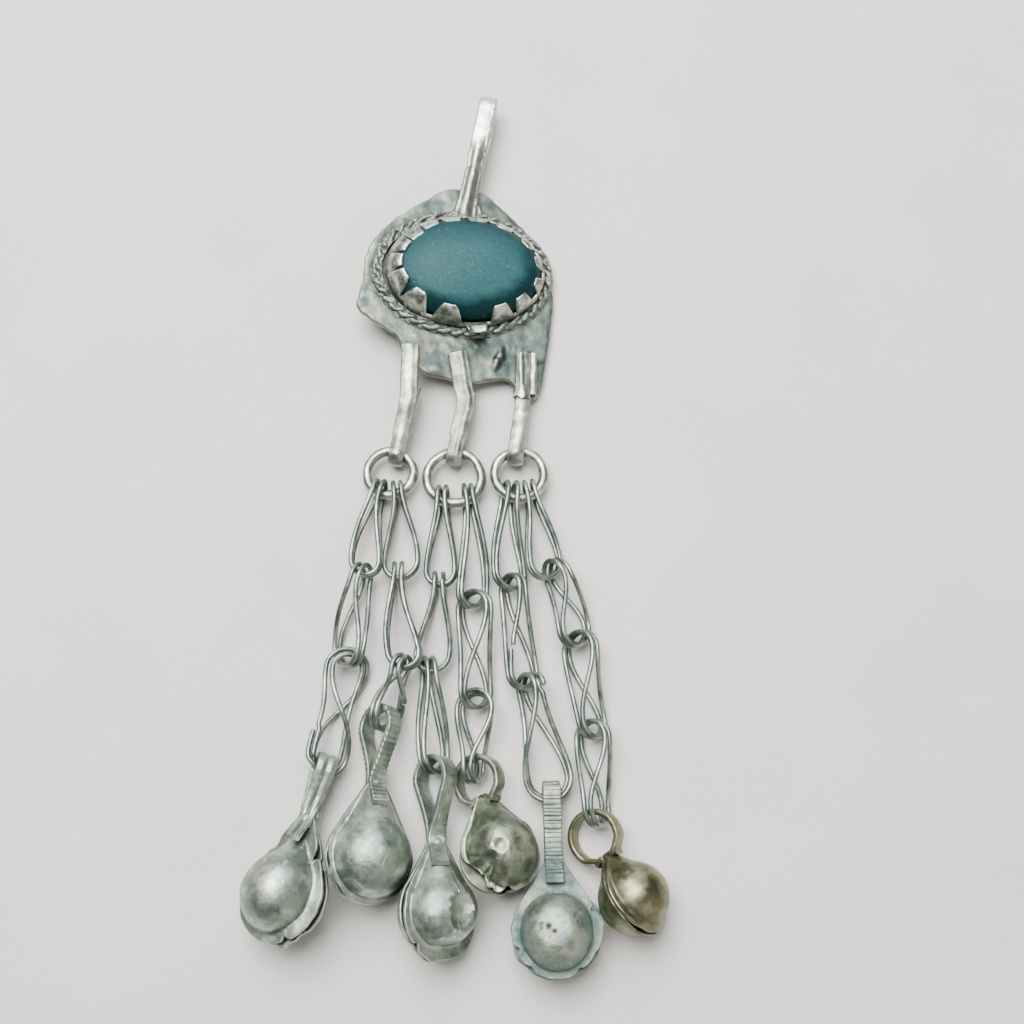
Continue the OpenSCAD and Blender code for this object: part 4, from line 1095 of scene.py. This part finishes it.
def round_values(pairs, degrees):
    """A value that changes smoothly round a bell between the given angles, or else 1."""
    if not pairs:
        return np.ones(len(degrees))
    a, v = np.array(sorted((a % 360, v) for a, v in pairs)).T
    a = np.concatenate([[a[-1] - 360], a, [a[0] + 360]])
    v = np.concatenate([[v[-1]], v, [v[0]]])
    d = np.asarray(degrees) % 360
    i = np.clip(np.searchsorted(a, d, side="right") - 1, 0, len(a) - 2)
    s = smooth((d - a[i]) / (a[i + 1] - a[i]))
    return v[i] * (1 - s) + v[i + 1] * s


def dome_height(x, y, r, cone):
    """Height of a bell's half above its middle: a ball with a cone up to the neck."""
    ball = np.sqrt(np.maximum(r * r - x * x - y * y, 0))
    if cone is None:
        return ball
    top, tip = cone
    # a cone with a narrow tip ends there, and a wide one runs on under the strip
    end = top + 0.01 if tip < 0.9 else math.inf
    s = np.clip((y - 0.4 * r) / (top - 0.4 * r), 0, 1)
    girth = (0.86 * r + (tip - 0.86 * r) * s) * smooth((y - 0.02 * r) / (0.3 * r)) * (y < end)
    return soft_max(ball, np.sqrt(np.maximum(girth ** 2 - x * x, 0)), 0.5)


def half_shell(name, face, seed):
    """One pressed half of a bell: dome, fillet and flange, then its dents."""
    bell = BELLS[name]
    b = bpy.context.scene.pendant_bells
    gap = mm(b.lip_gap) / 2
    flat_z = gap + mm(b.lip_thick)
    shares, notches = DOMES.get((name, face), ([], []))
    cone = CONES.get((name, face), (bell.top, 1.0))

    # the places round the rim lie closer over the neck
    neck = 14
    angles = np.unique(np.concatenate([np.arange(0, 360, 3.0), np.linspace(90 - neck, 90 + neck, 25)]))
    n = len(angles)
    c, s = np.cos(np.radians(angles)), np.sin(np.radians(angles))
    # the flange's outline: round below, narrowing to the neck above
    ax, ay, bx, by = bell.lip * 0.83, bell.lip * 0.55, 0.95, bell.top
    rising = np.maximum(s, 0.5)
    side = (ax * (by - ay) - ay * (bx - ax)) / (np.abs(c) * (by - ay) - rising * (bx - ax))
    edge = np.where(s > 0.5, np.maximum(bell.lip, np.minimum(side, by / rising)), bell.lip)
    flat = np.column_stack([c * bell.lip, s * bell.lip, np.full(n, 3.0 * face)])
    ragged = 1.5 if name == "bell_5" else 1.0
    wavy = ragged * (0.10 * uneven(flat, 2.2, seed) + 0.05 * uneven(flat, 0.9, seed + 1))
    edge = edge + np.where(s > 0.6, 0.3, 1.0) * (wavy - 0.05)
    for at, wide, deep in notches:
        edge = edge - deep * hump((angles - at + 180) % 360 - 180, 0, wide)
    share = round_values(shares, angles)
    share_y = np.where(s < 0, share, 1.0)

    def height(out):
        """Height of the dome so far out along each angle."""
        return dome_height(out * c / share, out * s / share_y, bell.dome, cone)

    # where the dome comes down to the flange, for each angle
    out = np.linspace(0, 1, 400)[:, None] * edge
    over = (height(out) > flat_z + 0.02) & (out / share <= edge)
    foot = np.minimum(np.where(over, out, 0).max(0), edge - 0.12)
    rounds = []
    for q in np.sin(np.radians(np.linspace(4, 90, 26))):
        out = foot * q
        rounds.append(np.column_stack([out * c, out * s, soft_max(height(out), flat_z, 0.45)]))
    last = rounds[-1][:, 2]
    for q in (0.18, 0.42, 0.7, 0.93, 1.0):
        out = foot + (edge - foot) * q
        flat = np.column_stack([out * c, out * s])
        ease = np.exp(-((edge - foot) * q / 0.22))
        rounds.append(np.column_stack([flat, flat_z + (last - flat_z) * ease
                                       + 0.05 * uneven(on_floor(flat), 1.8, seed + 2)]))
    m = len(rounds)
    faces = [(i * n + k, (i + 1) * n + k, (i + 1) * n + (k + 1) % n, i * n + (k + 1) % n)
             for i in range(m - 1) for k in range(n)]
    faces += [(m * n, k, (k + 1) % n) for k in range(n)]
    points = np.vstack([*rounds, [0, 0, bell.dome]])
    points = lifted(points, 0.05 * uneven(points, 2.6, seed + 3))
    # the seam is closed round the neck and stands open where the halves have sprung apart
    spread = round_values(SEAMS[name], np.degrees(np.arctan2(points[:, 1], points[:, 0])))
    points[:, 2] += (spread - 1.0) * (gap + 0.01) * (1 - smooth((points[:, 2] - flat_z) / 2.5))
    if face < 0:
        points = points * np.array([1, 1, -1.0])
        faces = [tuple(reversed(f)) for f in faces]
    yielding = smooth((np.abs(points[:, 2]) - flat_z - 0.15) / 1.1)
    points = dented(turned(points, -bell.turn, "y"), DENTS.get(name, []), yielding)
    return bell_place(points, bell), faces


def dented(points, dents, yielding):
    """Pushes a bell's skin in where something pressed it, towards the bell's middle."""
    away = np.linalg.norm(points, axis=1)
    way = points / np.maximum(away, 1e-9)[:, None]
    for x, y, z, r in dents:
        middle = np.array([x, y, z])
        along = way @ middle
        off = middle @ middle - along ** 2
        hit = np.where((off < r * r) & (along > 0), along - np.sqrt(np.maximum(r * r - off, 0)), 99.0)
        low = -soft_max(-away, -hit, 0.22 if r < 5 else 0.9)
        away = np.where(away > 2.0, away + (low - away) * yielding, away)
    return way * away[:, None]


def loop_path(name, thick):
    """The line of a bell's strip loop, in the loop's own plane."""
    bell = BELLS[name]
    top, stop, far, r = bell.top, bell.stop, bell.far, bell.loop_r - thick / 2
    foot = 1.0 + (top - stop) * (bell.dome * 0.86 - 1.0) / (top - bell.dome * 0.4)
    if name == "bell_5":
        # this strip lies on the flat sheet above the dome
        foot = 0.62
    join = far - bell.point * 0.78
    tip = math.degrees(math.asin(r / bell.point))
    arc = [(r * math.cos(a), far + r * math.sin(a))
           for a in np.radians(np.linspace(-tip, 180 + tip, 22))]
    half = thick / 2 + 0.05
    right = [(foot + thick * 0.55, stop), (half + 0.25 + (foot - half) * 0.42, (stop + top) / 2 + 0.1),
             (half + 0.12, top + 0.1)]
    if join > top + 1.2:
        right.append((half + 0.02, (join + top) / 2 + 0.3))
    right.append((half + 0.22 * (r - half), join + (far - join) * 0.30))
    left = [(-x, y) for x, y in right[::-1]]
    return np.array(right + arc + left)


def filed(along, pitch, deep, seed):
    """Depth of the grooves that a file left across a strip, unevenly, at places along it."""
    rng = np.random.default_rng(seed)
    places = np.cumsum(rng.uniform(0.65, 1.35, int(along[-1] / pitch)) * pitch)
    depths = deep * rng.uniform(0.35, 1.0, len(places))
    return (depths * hump(along[:, None], places, 0.085)).sum(1)


def loop_skin(name, thick=0.6):
    """A bell's strip loop and its neck. Three of the strips are filed, ribbed or grooved."""
    bell = BELLS[name]
    pace, squat = (0.06, 0.62) if name == "bell_5" else (0.13, 1.0)
    line = even(bend(loop_path(name, thick), 10), pace)
    along = np.arange(len(line)) * pace
    sections = []
    for way, groove in zip(along, filed(along, 0.46, 0.13, 15)):
        relief, narrow = lambda v: 0.05 * (1 - v * v), 1.0
        if name == "bell_5":
            relief = lambda v: 0.07 - groove * (1 + 0.25 * v * math.sin(5 * way))
        elif name == "bell_2":
            # milled ribs across the strip, 0.69 mm apart
            relief = lambda v: 0.07 * math.sin(2 * math.pi * way / 0.69) * (np.abs(v) < 0.93) + 0.02
        elif name == "bell_1":
            # two ridges along a strip that narrows towards its front end
            relief = lambda v: 0.10 * (hump(v, 0.45, 0.24) + hump(v, -0.45, 0.24) - hump(v, 0, 0.12))
            narrow = 0.72 + 0.36 * smooth(way / 9.0)
        sections.append(band(bell.wide * narrow, thick, relief, corner=0.16))
    rounds = band_rings(on_floor(line), (0, 0, 1.0), np.array(sections), -1.0)
    arm, arm_faces = loft(roughened(rounds, 1.0, (0.03, 1.4, 71)))
    # the arms turn further as they come down to the shell
    bend_y = bell.far - bell.point * 0.5
    ease = smooth((bend_y - arm[:, 1]) / max(bend_y - bell.top + 0.3, 1.0))
    turn = np.radians(bell.loop_turn + TWISTS.get(name, 0) * ease)
    arm = np.column_stack([arm[:, 0] * np.cos(turn) - arm[:, 2] * np.sin(turn), arm[:, 1],
                           arm[:, 0] * np.sin(turn) + arm[:, 2] * np.cos(turn)])
    middle = np.array([(0, bell.top + y, 0) for y in (-1.3, -0.7, -0.1, 0.25, 0.45)])
    neck, neck_faces = loft(wire_rings(middle, np.array([1.15, 1.12, 1.0, 0.8, 0.45]) * squat, 24))
    points, faces = joined([(arm, arm_faces), (turned(neck, -bell.turn, "y"), neck_faces)])
    return bell_place(points, bell), faces


# The bells that differ from the greened ones: metal and slot
BELL_METALS = {"bell_4": ("greyed", "bell_brass"), "bell_5": ("crusted", "bell_silver"),
               "bell_6": ("olive", "bell_brass")}
# Lamps: name, place from the camera's aim in metres, side in metres, power in watts and colour.
# The window stands high at the upper left, the cooler sky lies beyond it, and the warmer room
# is at the front right.
LAMPS = (("window", (-0.09, 0.14, 0.42), 0.34, 5.4, "#ffffff"),
         ("sky", (0.05, 0.40, 0.30), 0.40, 1.5, "#f2f7ff"),
         ("room", (0.34, -0.30, 0.22), 0.60, 1.0, "#fff6ea"))


# One operator for each piece or group of like pieces

class PENDANT_OT_plate(bpy.types.Operator):
    """Make the ragged back plate"""
    bl_idname = "pendant.plate"
    bl_label = "Back plate"

    def execute(self, context):
        add_piece("back_plate", plate_skin(), metal_of("sheet"), "setting")
        return {"FINISHED"}


class PENDANT_OT_bezel(bpy.types.Operator):
    """Make the toothed bezel and the twisted border round it"""
    bl_idname = "pendant.bezel"
    bl_label = "Bezel and border"

    def execute(self, context):
        add_piece("bezel", bezel_skin(), metal_of("bezel"), "setting")
        add_piece("twisted_border", border_skin(), metal_of("twist"), "setting")
        return {"FINISHED"}


class PENDANT_OT_stone(bpy.types.Operator):
    """Make the polished stone"""
    bl_idname = "pendant.stone"
    bl_label = "Stone"

    def execute(self, context):
        add_piece("polished_stone", stone_skin(), stone_material(), "stone")
        return {"FINISHED"}


class PENDANT_OT_bail(bpy.types.Operator):
    """Make the strip bail with its teardrop eye"""
    bl_idname = "pendant.bail"
    bl_label = "Bail"

    def execute(self, context):
        add_piece("bail", bail_skin(), metal_of("bail"), "setting")
        return {"FINISHED"}


class PENDANT_OT_hangers(bpy.types.Operator):
    """Make the three strip hangers"""
    bl_idname = "pendant.hangers"
    bl_label = "Hangers"

    def execute(self, context):
        for k, skin in enumerate(hanger_skins()):
            metal = metal_of("strip_dull" if k == 1 else "strip")
            add_piece("hanger_%d" % (k + 1), skin, metal, "setting")
        return {"FINISHED"}


class PENDANT_OT_rings(bpy.types.Operator):
    """Make the three thick rings"""
    bl_idname = "pendant.rings"
    bl_label = "Rings"

    def execute(self, context):
        for k, name in enumerate(RINGS):
            add_piece("thick_" + name, ring_skin(name, k + 1), metal_of("ring"), name)
        return {"FINISHED"}


class PENDANT_OT_links(bpy.types.Operator):
    """Make the folded wire links of the six strands"""
    bl_idname = "pendant.links"
    bl_label = "Links"

    def execute(self, context):
        for k, name in enumerate(LINKS):
            add_piece("wire_link_" + name, link_skin(name, 100 + k), metal_of("wire"), "link_" + name)
        return {"FINISHED"}


class PENDANT_OT_bells(bpy.types.Operator):
    """Make the six pressed bells with their strip loops"""
    bl_idname = "pendant.bells"
    bl_label = "Bells"

    def execute(self, context):
        for k, name in enumerate(BELLS):
            use, slot = BELL_METALS.get(name, ("shell", "bell_silver"))
            for side, face, seed in (("front", 1, 200 + 10 * k), ("back", -1, 205 + 10 * k)):
                piece = add_piece("%s_%s" % (name, side), half_shell(name, face, seed), metal_of(use),
                                  name, sharp=60.0, fix=False)
                sheet = piece.modifiers.new("sheet", "SOLIDIFY")
                sheet.thickness = context.scene.pendant_bells.sheet
                sheet.offset = -1.0
            add_piece(name + "_loop", loop_skin(name), metal_of(use), name)
        return {"FINISHED"}


class PENDANT_OT_stage(bpy.types.Operator):
    """Lay the pale table and set the lights and the camera"""
    bl_idname = "pendant.stage"
    bl_label = "Table, lights and camera"

    def execute(self, context):
        scene = context.scene
        mesh = bpy.data.meshes.new("table")
        # a square of 3 m, a hair below the pieces
        far, drop = 1.5, -0.00003
        corners = [(x * far, y * far, drop) for x, y in ((-1, -1), (1, -1), (1, 1), (-1, 1))]
        mesh.from_pydata(corners, [], [(0, 1, 2, 3)])
        table = bpy.data.objects.new("table", mesh)
        scene.collection.objects.link(table)
        mesh.materials.append(table_material())
        aim = Vector((AIM - MID) / 1000)
        tilt = math.radians(CAMERA_TILT)
        view = bpy.data.cameras.new("camera")
        view.lens, view.sensor_width = 50.0, 36.0
        view.clip_start, view.clip_end = 0.005, 10.0
        camera = bpy.data.objects.new("camera", view)
        scene.collection.objects.link(camera)
        camera.location = aim + Vector((0, -math.cos(tilt), math.sin(tilt))) * CAMERA_FAR / 1000
        camera.rotation_euler = (math.pi / 2 - tilt, 0, 0)
        scene.camera = camera
        for name, at, size, power, colour in LAMPS:
            lamp = bpy.data.lights.new(name, "AREA")
            lamp.shape, lamp.size, lamp.energy = "SQUARE", size, power
            lamp.color = linear(colour)[:3]
            light = bpy.data.objects.new(name, lamp)
            scene.collection.objects.link(light)
            light.location = aim + Vector(at)
            light.rotation_euler = (-Vector(at)).to_track_quat("-Z", "Y").to_euler()
        world = bpy.data.worlds.new("studio")
        world.use_nodes = True
        around = world.node_tree.nodes["Background"].inputs
        around["Color"].default_value = linear("#c3c9ca")
        around["Strength"].default_value = 0.32
        scene.world = world
        return {"FINISHED"}


class PENDANT_PT_sidebar(bpy.types.Panel):
    """The pendant's pieces and their sizes"""
    bl_idname = "PENDANT_PT_sidebar"
    bl_label = "Tassel pendant"
    bl_space_type = "VIEW_3D"
    bl_region_type = "UI"
    bl_category = "Pendant"

    def draw(self, context):
        for name in GROUPS:
            group = getattr(context.scene, name)
            box = self.layout.box()
            box.label(text=name.replace("pendant_", "").capitalize())
            for key in group.__class__.__annotations__:
                box.prop(group, key)
        for operator in OPERATORS:
            self.layout.operator(operator.bl_idname)


OPERATORS = (PENDANT_OT_stage, PENDANT_OT_plate, PENDANT_OT_bezel, PENDANT_OT_stone, PENDANT_OT_bail,
             PENDANT_OT_hangers, PENDANT_OT_rings, PENDANT_OT_links, PENDANT_OT_bells)
GROUPS = {"pendant_setting": SettingSizes, "pendant_chain": ChainSizes, "pendant_bells": BellSizes,
          "pendant_finishes": Finishes}


def register():
    """Adds the pendant's settings, operators and panel to Blender."""
    for group in GROUPS.values():
        bpy.utils.register_class(group)
    for name, group in GROUPS.items():
        setattr(bpy.types.Scene, name, bpy.props.PointerProperty(type=group))
    for operator in OPERATORS:
        bpy.utils.register_class(operator)
    bpy.utils.register_class(PENDANT_PT_sidebar)


def unregister():
    """Takes the panel, the operators and the settings out again."""
    bpy.utils.unregister_class(PENDANT_PT_sidebar)
    for operator in reversed(OPERATORS):
        bpy.utils.unregister_class(operator)
    for name, group in GROUPS.items():
        delattr(bpy.types.Scene, name)
        bpy.utils.unregister_class(group)


def main():
    """Registers the settings, operators and panel, and makes every piece in order."""
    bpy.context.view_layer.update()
    register()
    for operator in OPERATORS:
        group, name = operator.bl_idname.split(".")
        getattr(getattr(bpy.ops, group), name)()


if __name__ == "__main__":
    main()
